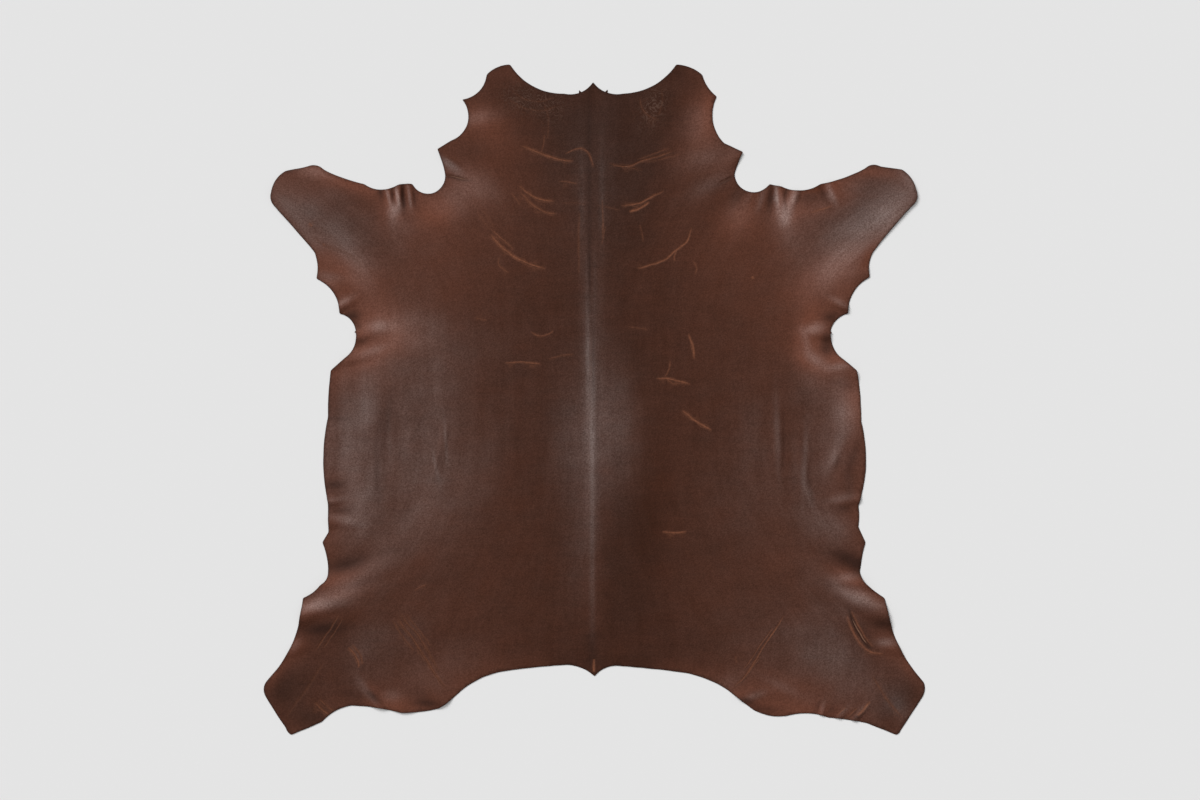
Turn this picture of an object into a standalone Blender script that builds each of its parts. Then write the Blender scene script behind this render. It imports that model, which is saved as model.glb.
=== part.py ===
"""A full cowhide, tanned and dyed brown, lying grain side up.

The hide is one sheet of leather. Its edge runs from the neck out round each fore leg, in to the
brisket notch, down the flank, out round each hind leg and in to the tail. Soft folds run in from
the edge and fade out, and between them the flesh side lies flat.

Frame: metres, +Z up, +Y towards the neck, +X to the right-hand side seen from above. The origin
is on the surface that the hide lies on, under the middle of the hide's box.
"""

import math
from typing import NamedTuple

import bpy
import numpy as np
from mathutils.geometry import delaunay_2d_cdt

# Driving dimensions, in millimetres.
THICKNESS = 2.0
EDGE_STEP = 25.0  # between points along the cut edge
FOLD_STEP = 30.0  # between points along a fold's crest
FLAT_STEP = 64.0  # between points where the hide lies flat
LEAST_GAP = 9.0  # between a fold's points and anything else

# Across a fold the points stand at these shares of its foot.
FOLD_SHARES = (-1.0, -0.5, 0.0, 0.5, 1.0)

METRES = 0.001
LEATHER_BROWN = "50362D"
LEATHER_ROUGHNESS = 0.45


class Landmark(NamedTuple):
    """A point of the cut edge on each side of the backbone.

    out is its distance from the backbone and up its height above the tips of the hind legs. bow
    is how far the edge swells out on its way here from the landmark before, or, below zero, how
    far it is scooped in.
    """

    name: str
    left_out: float
    left_up: float
    left_bow: float
    right_out: float
    right_up: float
    right_bow: float


class Fold(NamedTuple):
    """A soft ridge that starts at full height on the edge, or low inside it, and fades out.

    It runs from (out, up) to (to_out, to_up). foot is its half width where it meets the floor.
    """

    name: str
    side: str
    start: str
    out: float
    up: float
    to_out: float
    to_up: float
    foot: float
    height: float


#   name               left: out    up   bow  right: out    up   bow
LANDMARKS = (
    Landmark("neck point", 0, 2240, 0, 0, 2240, 0),
    Landmark("neck scoop", 100, 2200, -17, 100, 2200, -16),
    Landmark("ear corner", 285, 2300, -28, 285, 2300, -26),
    Landmark("ear back", 365, 2265, 9, 375, 2265, 8),
    Landmark("cheek corner", 450, 2180, -21, 425, 2190, -8),
    Landmark("cheek scallop", 485, 2040, -38, 450, 2030, -27),
    Landmark("throat corner", 535, 2010, 0, 515, 2000, 0),
    Landmark("throat", 508, 1920, -3, 485, 1925, -2),
    Landmark("armpit corner", 620, 1890, -48, 605, 1890, -45),
    Landmark("pucker", 675, 1885, 3, 650, 1880, 0),
    Landmark("shank dip", 785, 1890, -17, 780, 1890, -17),
    Landmark("shank top", 925, 1940, -5, 935, 1945, -7),
    Landmark("knee bump", 980, 1950, 9, 985, 1950, 9),
    Landmark("fore cuff", 1055, 1935, 0, 1060, 1940, 0),
    Landmark("fore end", 1105, 1860, 10, 1110, 1865, 9),
    Landmark("fore heel", 1090, 1810, 8, 1095, 1815, 9),
    Landmark("elbow", 955, 1655, -1, 960, 1655, -3),
    Landmark("elbow corner", 950, 1565, -7, 950, 1570, -8),
    Landmark("brisket corner", 870, 1445, -22, 875, 1445, -22),
    Landmark("notch", 815, 1390, -12, 815, 1385, -13),
    Landmark("notch below", 850, 1295, -15, 845, 1300, -10),
    Landmark("flank corner", 900, 1250, 0, 905, 1250, 0),
    Landmark("belly start", 910, 1090, 3, 920, 1075, 4),
    Landmark("belly end", 910, 795, 16, 910, 785, 21),
    Landmark("flank ripple", 908, 695, 0, 910, 715, 3),
    Landmark("flank tag", 930, 660, 0, 935, 660, 0),
    Landmark("groin", 910, 560, -6, 915, 560, -2),
    Landmark("groin below", 935, 515, -8, 940, 515, -5),
    Landmark("thigh corner", 995, 470, -5, 1000, 470, -2),
    Landmark("thigh", 1010, 380, 0, 1025, 365, 0),
    Landmark("hock", 1090, 220, -10, 1110, 210, -8),
    Landmark("hind cuff", 1120, 185, 0, 1135, 180, 0),
    Landmark("hind end", 1125, 135, 8, 1130, 130, 6),
    Landmark("hind heel", 1055, 25, 2, 1055, 15, 0),
    Landmark("hind tip", 1035, 0, 4, 1040, 0, 3),
    Landmark("shank back", 930, 45, 0, 940, 40, 0),
    Landmark("shank hollow", 830, 100, -10, 805, 60, -2),
    Landmark("buttock corner", 660, 75, -6, 665, 65, -11),
    Landmark("buttock", 530, 90, 4, 550, 85, 9),
    Landmark("rump rise", 455, 150, 3, 460, 155, 0),
    Landmark("rump", 325, 215, -8, 330, 210, -6),
    Landmark("tail side", 95, 240, -3, 100, 235, -3),
    Landmark("tail tip", -5, 200, -11, 5, 200, -15),
)

#   name                  side    start     out    up  to: out    up  foot height
FOLDS = (
    Fold("backbone ridge", "right", "inside", 0, 1640, 0, 540, 26, 4),
    Fold("throat fold", "left", "edge", 520, 1985, 430, 1925, 30, 6),
    Fold("shank roll", "left", "edge", 1075, 1845, 750, 1600, 110, 7),
    Fold("outer cuff pleat", "left", "edge", 697, 1882, 672, 1780, 20, 7),
    Fold("middle cuff pleat", "left", "edge", 662, 1884, 669, 1775, 16, 9),
    Fold("inner cuff pleat", "left", "edge", 633, 1888, 620, 1815, 15, 6),
    Fold("elbow ridge", "left", "edge", 950, 1590, 850, 1570, 30, 5),
    Fold("brisket ridge", "left", "edge", 878, 1460, 800, 1505, 22, 8),
    Fold("upper notch ridge", "left", "edge", 822, 1363, 670, 1410, 34, 8),
    Fold("lower notch ridge", "left", "edge", 838, 1290, 710, 1320, 30, 7),
    Fold("belly roll", "left", "inside", 765, 1240, 800, 680, 85, 6),
    Fold("belly crease", "left", "inside", 498, 1100, 550, 860, 24, 3),
    Fold("upper flank ripple", "left", "edge", 912, 800, 835, 806, 22, 6),
    Fold("lower flank ripple", "left", "edge", 908, 731, 780, 717, 30, 8),
    Fold("groin fold", "left", "edge", 925, 514, 560, 618, 48, 11),
    Fold("thigh roll", "left", "edge", 1002, 412, 800, 492, 48, 13),
    Fold("hock ridge", "left", "edge", 1048, 286, 945, 324, 32, 6),
    Fold("shank ruffle", "left", "edge", 733, 92, 800, 200, 30, 9),
    Fold("buttock ruffle", "left", "edge", 650, 75, 700, 195, 50, 5),
    Fold("rump ruffle", "left", "edge", 508, 105, 590, 245, 42, 7),
    Fold("throat fold", "right", "edge", 500, 1985, 420, 1925, 30, 5),
    Fold("shank roll", "right", "edge", 1085, 1845, 770, 1600, 110, 7),
    Fold("outer cuff pleat", "right", "edge", 812, 1897, 857, 1828, 22, 6),
    Fold("middle cuff pleat", "right", "edge", 702, 1874, 669, 1770, 20, 8),
    Fold("inner cuff pleat", "right", "edge", 640, 1882, 662, 1762, 16, 9),
    Fold("collar pleat", "right", "edge", 605, 1888, 581, 1805, 18, 4),
    Fold("elbow ridge", "right", "edge", 955, 1590, 855, 1560, 30, 4),
    Fold("brisket ridge", "right", "edge", 882, 1458, 800, 1499, 22, 8),
    Fold("upper notch ridge", "right", "edge", 820, 1367, 690, 1394, 26, 7),
    Fold("lower notch ridge", "right", "edge", 905, 1248, 715, 1326, 42, 8),
    Fold("belly swell", "right", "inside", 845, 1200, 885, 985, 70, 5),
    Fold("belly roll", "right", "inside", 632, 1145, 637, 870, 26, 4),
    Fold("belly crease", "right", "inside", 702, 1055, 740, 760, 26, 4),
    Fold("flank crease", "right", "inside", 846, 995, 812, 895, 22, 5),
    Fold("flank ripple", "right", "edge", 914, 807, 795, 792, 22, 6),
    Fold("groin fold", "right", "edge", 926, 522, 740, 550, 36, 11),
    Fold("thigh roll", "right", "edge", 1008, 412, 815, 512, 52, 13),
    Fold("hock ridge", "right", "edge", 1055, 293, 950, 318, 32, 6),
    Fold("upper shank pleat", "right", "edge", 783, 62, 797, 126, 15, 5),
    Fold("middle shank pleat", "right", "edge", 842, 56, 882, 104, 15, 5),
    Fold("lower shank pleat", "right", "edge", 896, 48, 965, 124, 14, 6),
    Fold("rump ruffle", "right", "edge", 492, 125, 605, 158, 32, 8),
)


def clear_scene():
    for scene_object in list(bpy.data.objects):
        bpy.data.objects.remove(scene_object, do_unlink=True)


def linear_colour(hex_code):
    """The sRGB hex code as linear red, green, blue and alpha."""
    shares = [int(hex_code[place : place + 2], 16) / 255 for place in (0, 2, 4)]
    channels = [s / 12.92 if s <= 0.04045 else ((s + 0.055) / 1.055) ** 2.4 for s in shares]
    return (*channels, 1.0)


def arc_points(start, end, bow, step):
    """Points from start up to, but not at, end, on the arc that swells out by bow.

    Seen along the way from start to end, out is to the left. The arc turns through twice
    half_turn, and bow is its rise over the middle of the chord.
    """
    start, end = np.array(start, float), np.array(end, float)
    chord = math.dist(start, end)
    along = (end - start) / chord
    outward = np.array((-along[1], along[0]))
    half_turn = 2 * math.atan2(2 * bow, chord)
    count = max(1, round(chord / step))
    shares = np.linspace(-1, 1, count, endpoint=False)
    if bow:
        reach = chord / 2 * np.sin(half_turn * shares) / math.sin(half_turn)
        rise = chord / 2 * (np.cos(half_turn * shares) - math.cos(half_turn)) / math.sin(half_turn)
    else:
        reach = chord / 2 * shares
        rise = np.zeros(count)
    middle = (start + end) / 2
    return middle + reach[:, None] * along + rise[:, None] * outward


def side_points(side, step):
    """The cut edge on one side, from the neck point to just before the tail tip."""
    columns = slice(1, 4) if side == "left" else slice(4, 7)
    rows = [landmark[columns] for landmark in LANDMARKS]
    arcs = [
        arc_points(before[:2], after[:2], after[2], step)
        for before, after in zip(rows, rows[1:])
    ]
    points = np.concatenate([*arcs, [rows[-1][:2]]])
    return points * ((-1, 1) if side == "left" else (1, 1))


def edge_points(step):
    """The whole cut edge, counter-clockwise seen from above, starting at the neck point."""
    left = side_points("left", step)
    right = side_points("right", step)
    return np.concatenate([left, right[-2:0:-1]])


def fold_ends(fold):
    mirror = np.array((-1 if fold.side == "left" else 1, 1))
    return np.array((fold.out, fold.up)) * mirror, np.array((fold.to_out, fold.to_up)) * mirror


def hill(share):
    """1 in the middle and 0 from a share of 1 outwards, level at both."""
    return np.clip(1 - share**2, 0, None) ** 2


def relief(points):
    """Height of the flesh side above the floor: the sum of the folds that pass there."""
    height = np.zeros(len(points))
    for fold in FOLDS:
        start, end = fold_ends(fold)
        length = math.dist(start, end)
        along = (end - start) / length
        reach = (points - start) @ along / length
        across = (points - start) @ np.array((-along[1], along[0])) / fold.foot
        fade = hill(np.clip(reach, 0, None) if fold.start == "edge" else 2 * reach - 1)
        height += fold.height * fade * hill(across)
    return height


def fold_points(fold):
    """Rows of points along a fold, on its crest, its flanks and its foot."""
    start, end = fold_ends(fold)
    length = math.dist(start, end)
    along = (end - start) / length
    reach = np.linspace(0, length, 1 + math.ceil(length / FOLD_STEP))
    across = fold.foot * np.array(FOLD_SHARES)
    rows = start + reach[:, None] * along
    offsets = across[:, None] * np.array((-along[1], along[0]))
    return (rows[:, None] + offsets[None]).reshape(-1, 2)


def flat_points(edge):
    """A lattice of even triangles over the hide's box."""
    low, high = edge.min(axis=0), edge.max(axis=0)
    row_step = FLAT_STEP * math.sqrt(3) / 2
    ups = np.arange(low[1] + row_step / 2, high[1], row_step)
    lattice = np.stack(np.meshgrid(np.arange(low[0], high[0], FLAT_STEP), ups), axis=2)
    lattice[1::2, :, 0] += FLAT_STEP / 2
    return lattice.reshape(-1, 2)


def edge_distance(points, edge):
    """Distance of each point to the cut edge, below zero outside it."""
    ends = np.roll(edge, -1, axis=0)
    runs = ends - edge
    offsets = points[:, None] - edge
    shares = np.clip((offsets * runs).sum(axis=2) / (runs**2).sum(axis=1), 0, 1)
    distance = np.linalg.norm(offsets - shares[:, :, None] * runs, axis=2).min(axis=1)
    spans = (edge[:, 1] > points[:, 1:]) != (ends[:, 1] > points[:, 1:])
    crossings = edge[:, 0] + (points[:, 1:] - edge[:, 1]) * runs[:, 0] / np.where(
        runs[:, 1] == 0, 1, runs[:, 1]
    )
    inside = (spans & (points[:, :1] < crossings)).sum(axis=1) % 2 == 1
    return np.where(inside, distance, -distance)


def spaced(points, kept, gap):
    """The kept points, with each further one that stays the gap away from all before it."""
    chosen = list(kept)
    for point in points:
        if np.linalg.norm(np.array(chosen) - point, axis=1).min() >= gap:
            chosen.append(point)
    return np.array(chosen)


def inner_points(edge):
    """Points inside the edge: close together on the folds and far apart on the flat."""
    folds = np.concatenate([fold_points(fold) for fold in FOLDS])
    folds = folds[edge_distance(folds, edge) > LEAST_GAP]
    flats = flat_points(edge)
    flats = flats[edge_distance(flats, edge) > FLAT_STEP / 3]
    folds = spaced(folds[1:], folds[:1], LEAST_GAP)
    return spaced(flats, folds, FLAT_STEP / 2)


def sheet_mesh():
    """The flesh side of the hide as triangles, with its folds."""
    edge = edge_points(EDGE_STEP)
    plan = np.concatenate([edge, inner_points(edge)])
    outline = [(place, (place + 1) % len(edge)) for place in range(len(edge))]
    joined = delaunay_2d_cdt(plan.tolist(), outline, [], 0, 1e-6, False)
    plan, triangles = np.array(joined[0]), np.array(joined[2])
    triangles = triangles[edge_distance(plan[triangles].mean(axis=1), edge) > 0]
    middle = (edge.min(axis=0) + edge.max(axis=0)) / 2
    points = np.column_stack((plan - middle, relief(plan))) * METRES
    mesh = bpy.data.meshes.new("hide")
    mesh.from_pydata(points.tolist(), [], triangles.tolist())
    mesh.validate()
    return mesh


def leather_material():
    material = bpy.data.materials.new("brown aniline leather")
    material.use_nodes = True
    shader = material.node_tree.nodes["Principled BSDF"]
    shader.inputs["Base Color"].default_value = linear_colour(LEATHER_BROWN)
    shader.inputs["Roughness"].default_value = LEATHER_ROUGHNESS
    shader.inputs["Metallic"].default_value = 0.0
    return material


def build_hide(collection):
    """The sheet, given its thickness on the grain side, so the flesh side stays on the floor."""
    mesh = sheet_mesh()
    mesh.materials.append(leather_material())
    mesh.shade_smooth()
    hide = bpy.data.objects.new("hide", mesh)
    collection.objects.link(hide)
    skin = hide.modifiers.new("thickness", "SOLIDIFY")
    skin.thickness = THICKNESS * METRES
    skin.offset = 1.0
    skin.use_even_offset = True
    return hide


def main():
    clear_scene()
    collection = bpy.data.collections.new("leather_hide")
    bpy.context.scene.collection.children.link(collection)
    build_hide(collection)


main()
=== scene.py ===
"""Looks of the leather hide: a full cowhide, dyed brown, lying grain side up on a pale floor.

The hide is one closed sheet. Its edge is cut with a knife round the neck, the legs, the flanks
and the tail. Soft folds run in from the edge, growth wrinkles, stretch marks and healed scratches
cross the grain, and the wax is smoother where the hide was burnished. Painted light lies in its
colour: a grey painted sheen with painted highlights on the folds, and painted shade in the
hollows, the grooves and along the cut edge.

Frame: metres, +Z up, +Y towards the neck, +X to the right-hand side seen from above. The tables
are in millimetres: out from the backbone, and up from the tips of the hind legs.
"""

import logging
import math
from dataclasses import dataclass, field
from enum import Enum
from typing import Any, NamedTuple

import bpy
import numpy as np
from mathutils.geometry import delaunay_2d_cdt
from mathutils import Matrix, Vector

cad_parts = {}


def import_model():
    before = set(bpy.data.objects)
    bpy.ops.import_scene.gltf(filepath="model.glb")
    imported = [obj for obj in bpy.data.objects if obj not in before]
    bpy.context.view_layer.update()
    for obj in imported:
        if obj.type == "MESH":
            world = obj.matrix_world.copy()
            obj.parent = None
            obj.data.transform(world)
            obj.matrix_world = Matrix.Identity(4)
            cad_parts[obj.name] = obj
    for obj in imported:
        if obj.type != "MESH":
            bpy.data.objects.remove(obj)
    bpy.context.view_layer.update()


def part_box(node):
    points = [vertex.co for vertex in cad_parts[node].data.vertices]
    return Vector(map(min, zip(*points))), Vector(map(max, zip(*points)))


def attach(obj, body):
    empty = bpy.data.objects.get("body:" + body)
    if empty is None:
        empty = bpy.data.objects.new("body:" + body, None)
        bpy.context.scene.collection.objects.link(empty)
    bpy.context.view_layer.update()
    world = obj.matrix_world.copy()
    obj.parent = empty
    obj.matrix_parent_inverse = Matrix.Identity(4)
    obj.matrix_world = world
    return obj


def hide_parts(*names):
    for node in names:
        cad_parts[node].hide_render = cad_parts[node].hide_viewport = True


LOG = logging.getLogger("leather_hide")
MM = 0.001
BATCH = 4000  # points compared with the cut edge at one time
WAVE_LENGTHS = (0.6, 1.6)  # the shortest and the longest wave, times the typical length

Array = np.ndarray
Colour = tuple[float, float, float, float]
Socket = bpy.types.NodeSocket
Weights = tuple[tuple[str, float], ...]


class Side(Enum):
    """The two halves of the hide, and the sign of X on each."""

    LEFT = -1
    RIGHT = 1


class Rise(Enum):
    """Where along its run a fold stands highest."""

    AT_EDGE = "at the cut edge"
    INSIDE = "half way along"


class Surface(Enum):
    """The surfaces of the sheet, numbered as its material slots are."""

    GRAIN = 0
    CUT = 1
    FLESH = 2


class Lay(Enum):
    """How a noise of the leather is drawn out."""

    EVEN = "not at all"
    HAIR = "along the lay of the hair"
    BACK = "across the back"


class Landmark(NamedTuple):
    """A point of the cut edge on each side of the backbone.

    out is its distance from the backbone and up its height above the tips of the hind legs. bow
    is how far the edge swells out on its way here from the landmark before, or, below zero, how
    far it is scooped in.
    """

    name: str
    left_out: float
    left_up: float
    left_bow: float
    right_out: float
    right_up: float
    right_bow: float


class Fold(NamedTuple):
    """A soft ridge from (out, up) to (to_out, to_up), with its half width (foot) and its height."""

    name: str
    side: Side
    rise: Rise
    out: float
    up: float
    to_out: float
    to_up: float
    foot: float
    height: float


class Line(NamedTuple):
    """A fine line in the grain, along a path of (x, up) points.

    width is its half width, depth how far it sinks below the grain or, below zero, stands up from
    it, and pale how light it shows, from 0 to 1.
    """

    name: str
    width: float
    depth: float
    pale: float
    path: tuple[tuple[float, float], ...]


class Patch(NamedTuple):
    """A soft oval patch of finish round (x, up).

    reach and breadth are its half length and half breadth, lean is the turn of its length from
    +X towards the neck in degrees, and strength its value in the middle.
    """

    x: float
    up: float
    reach: float
    breadth: float
    lean: float
    strength: float


class Tag(NamedTuple):
    """A sliver of leather that the knife left standing out from the edge near (x, up)."""

    x: float
    up: float
    length: float


class Noise(NamedTuple):
    """A noise of the leather: how it is drawn out, its scale, and its node's other settings."""

    name: str
    lay: Lay
    per_metre: float
    detail: float
    roughness: float
    distortion: float


def patches(*rows: tuple[float, ...]) -> tuple[Patch, ...]:
    """Make patches of the rows of a table."""
    return tuple(Patch(*row) for row in rows)


#   name               left: out    up   bow  right: out    up   bow
LANDMARKS = (
    Landmark("neck point", 0, 2240, 0, 0, 2240, 0),
    Landmark("neck scoop", 100, 2200, -17, 100, 2200, -16),
    Landmark("ear corner", 285, 2300, -28, 285, 2300, -26),
    Landmark("ear back", 365, 2265, 9, 375, 2265, 8),
    Landmark("cheek corner", 450, 2180, -21, 425, 2190, -8),
    Landmark("cheek scallop", 485, 2040, -38, 450, 2030, -27),
    Landmark("throat corner", 535, 2010, 0, 515, 2000, 0),
    Landmark("throat", 508, 1920, -3, 485, 1925, -2),
    Landmark("armpit corner", 620, 1890, -48, 605, 1890, -45),
    Landmark("pucker", 675, 1885, 3, 650, 1880, 0),
    Landmark("shank dip", 785, 1890, -17, 780, 1890, -17),
    Landmark("shank top", 925, 1940, -5, 935, 1945, -7),
    Landmark("knee bump", 980, 1950, 9, 985, 1950, 9),
    Landmark("fore cuff", 1055, 1935, 0, 1060, 1940, 0),
    Landmark("fore end", 1105, 1860, 10, 1110, 1865, 9),
    Landmark("fore heel", 1090, 1810, 8, 1095, 1815, 9),
    Landmark("elbow", 955, 1655, -1, 960, 1655, -3),
    Landmark("elbow corner", 950, 1565, -7, 950, 1570, -8),
    Landmark("brisket corner", 870, 1445, -22, 875, 1445, -22),
    Landmark("notch", 815, 1390, -12, 815, 1385, -13),
    Landmark("notch below", 850, 1295, -15, 845, 1300, -10),
    Landmark("flank corner", 900, 1250, 0, 905, 1250, 0),
    Landmark("belly start", 910, 1090, 3, 920, 1075, 4),
    Landmark("belly end", 910, 795, 16, 910, 785, 21),
    Landmark("flank ripple", 908, 695, 0, 910, 715, 3),
    Landmark("flank tag", 930, 660, 0, 935, 660, 0),
    Landmark("groin", 910, 560, -6, 915, 560, -2),
    Landmark("groin below", 935, 515, -8, 940, 515, -5),
    Landmark("thigh corner", 995, 470, -5, 1000, 470, -2),
    Landmark("thigh", 1010, 380, 0, 1025, 365, 0),
    Landmark("hock", 1090, 220, -10, 1110, 210, -8),
    Landmark("hind cuff", 1120, 185, 0, 1135, 180, 0),
    Landmark("hind end", 1125, 135, 8, 1130, 130, 6),
    Landmark("hind heel", 1055, 25, 2, 1055, 15, 0),
    Landmark("hind tip", 1035, 0, 4, 1040, 0, 3),
    Landmark("shank back", 930, 45, 0, 940, 40, 0),
    Landmark("shank hollow", 830, 100, -10, 805, 60, -2),
    Landmark("buttock corner", 660, 75, -6, 665, 65, -11),
    Landmark("buttock", 530, 90, 4, 550, 85, 9),
    Landmark("rump rise", 455, 150, 3, 460, 155, 0),
    Landmark("rump", 325, 215, -8, 330, 210, -6),
    Landmark("tail side", 95, 240, -3, 100, 235, -3),
    Landmark("tail tip", -5, 200, -11, 5, 200, -15),
)

#   name                  side        rise             out    up  to: out    up  foot height
FOLDS = (
    Fold("backbone ridge", Side.RIGHT, Rise.INSIDE, 0, 1640, 0, 540, 26, 4),
    Fold("throat fold", Side.LEFT, Rise.AT_EDGE, 520, 1985, 430, 1925, 30, 6),
    Fold("shank roll", Side.LEFT, Rise.AT_EDGE, 1075, 1845, 750, 1600, 110, 7),
    Fold("outer cuff pleat", Side.LEFT, Rise.AT_EDGE, 697, 1882, 672, 1780, 20, 7),
    Fold("middle cuff pleat", Side.LEFT, Rise.AT_EDGE, 662, 1884, 669, 1775, 16, 9),
    Fold("inner cuff pleat", Side.LEFT, Rise.AT_EDGE, 633, 1888, 620, 1815, 15, 6),
    Fold("elbow ridge", Side.LEFT, Rise.AT_EDGE, 950, 1590, 850, 1570, 30, 5),
    Fold("brisket ridge", Side.LEFT, Rise.AT_EDGE, 878, 1460, 800, 1505, 22, 8),
    Fold("upper notch ridge", Side.LEFT, Rise.AT_EDGE, 822, 1363, 670, 1410, 34, 8),
    Fold("lower notch ridge", Side.LEFT, Rise.AT_EDGE, 838, 1290, 710, 1320, 30, 7),
    Fold("belly roll", Side.LEFT, Rise.INSIDE, 765, 1240, 800, 680, 85, 6),
    Fold("belly crease", Side.LEFT, Rise.INSIDE, 498, 1100, 550, 860, 24, 3),
    Fold("upper flank ripple", Side.LEFT, Rise.AT_EDGE, 912, 800, 835, 806, 22, 6),
    Fold("lower flank ripple", Side.LEFT, Rise.AT_EDGE, 908, 731, 780, 717, 30, 8),
    Fold("groin fold", Side.LEFT, Rise.AT_EDGE, 925, 514, 560, 618, 48, 11),
    Fold("thigh roll", Side.LEFT, Rise.AT_EDGE, 1002, 412, 800, 492, 48, 13),
    Fold("hock ridge", Side.LEFT, Rise.AT_EDGE, 1048, 286, 945, 324, 32, 6),
    Fold("shank ruffle", Side.LEFT, Rise.AT_EDGE, 733, 92, 800, 200, 30, 9),
    Fold("buttock ruffle", Side.LEFT, Rise.AT_EDGE, 650, 75, 700, 195, 50, 5),
    Fold("rump ruffle", Side.LEFT, Rise.AT_EDGE, 508, 105, 590, 245, 42, 7),
    Fold("throat fold", Side.RIGHT, Rise.AT_EDGE, 500, 1985, 420, 1925, 30, 5),
    Fold("shank roll", Side.RIGHT, Rise.AT_EDGE, 1085, 1845, 770, 1600, 110, 7),
    Fold("outer cuff pleat", Side.RIGHT, Rise.AT_EDGE, 812, 1897, 857, 1828, 22, 6),
    Fold("middle cuff pleat", Side.RIGHT, Rise.AT_EDGE, 702, 1874, 669, 1770, 20, 8),
    Fold("inner cuff pleat", Side.RIGHT, Rise.AT_EDGE, 640, 1882, 662, 1762, 16, 9),
    Fold("collar pleat", Side.RIGHT, Rise.AT_EDGE, 605, 1888, 581, 1805, 18, 4),
    Fold("elbow ridge", Side.RIGHT, Rise.AT_EDGE, 955, 1590, 855, 1560, 30, 4),
    Fold("brisket ridge", Side.RIGHT, Rise.AT_EDGE, 882, 1458, 800, 1499, 22, 8),
    Fold("upper notch ridge", Side.RIGHT, Rise.AT_EDGE, 820, 1367, 690, 1394, 26, 7),
    Fold("lower notch ridge", Side.RIGHT, Rise.AT_EDGE, 905, 1248, 715, 1326, 42, 8),
    Fold("belly swell", Side.RIGHT, Rise.INSIDE, 845, 1200, 885, 985, 70, 5),
    Fold("belly roll", Side.RIGHT, Rise.INSIDE, 632, 1145, 637, 870, 26, 4),
    Fold("belly crease", Side.RIGHT, Rise.INSIDE, 702, 1055, 740, 760, 26, 4),
    Fold("flank crease", Side.RIGHT, Rise.INSIDE, 846, 995, 812, 895, 22, 5),
    Fold("flank ripple", Side.RIGHT, Rise.AT_EDGE, 914, 807, 795, 792, 22, 6),
    Fold("groin fold", Side.RIGHT, Rise.AT_EDGE, 926, 522, 740, 550, 36, 11),
    Fold("thigh roll", Side.RIGHT, Rise.AT_EDGE, 1008, 412, 815, 512, 52, 13),
    Fold("hock ridge", Side.RIGHT, Rise.AT_EDGE, 1055, 293, 950, 318, 32, 6),
    Fold("upper shank pleat", Side.RIGHT, Rise.AT_EDGE, 783, 62, 797, 126, 15, 5),
    Fold("middle shank pleat", Side.RIGHT, Rise.AT_EDGE, 842, 56, 882, 104, 15, 5),
    Fold("lower shank pleat", Side.RIGHT, Rise.AT_EDGE, 896, 48, 965, 124, 14, 6),
    Fold("rump ruffle", Side.RIGHT, Rise.AT_EDGE, 492, 125, 605, 158, 32, 8),
)

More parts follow.
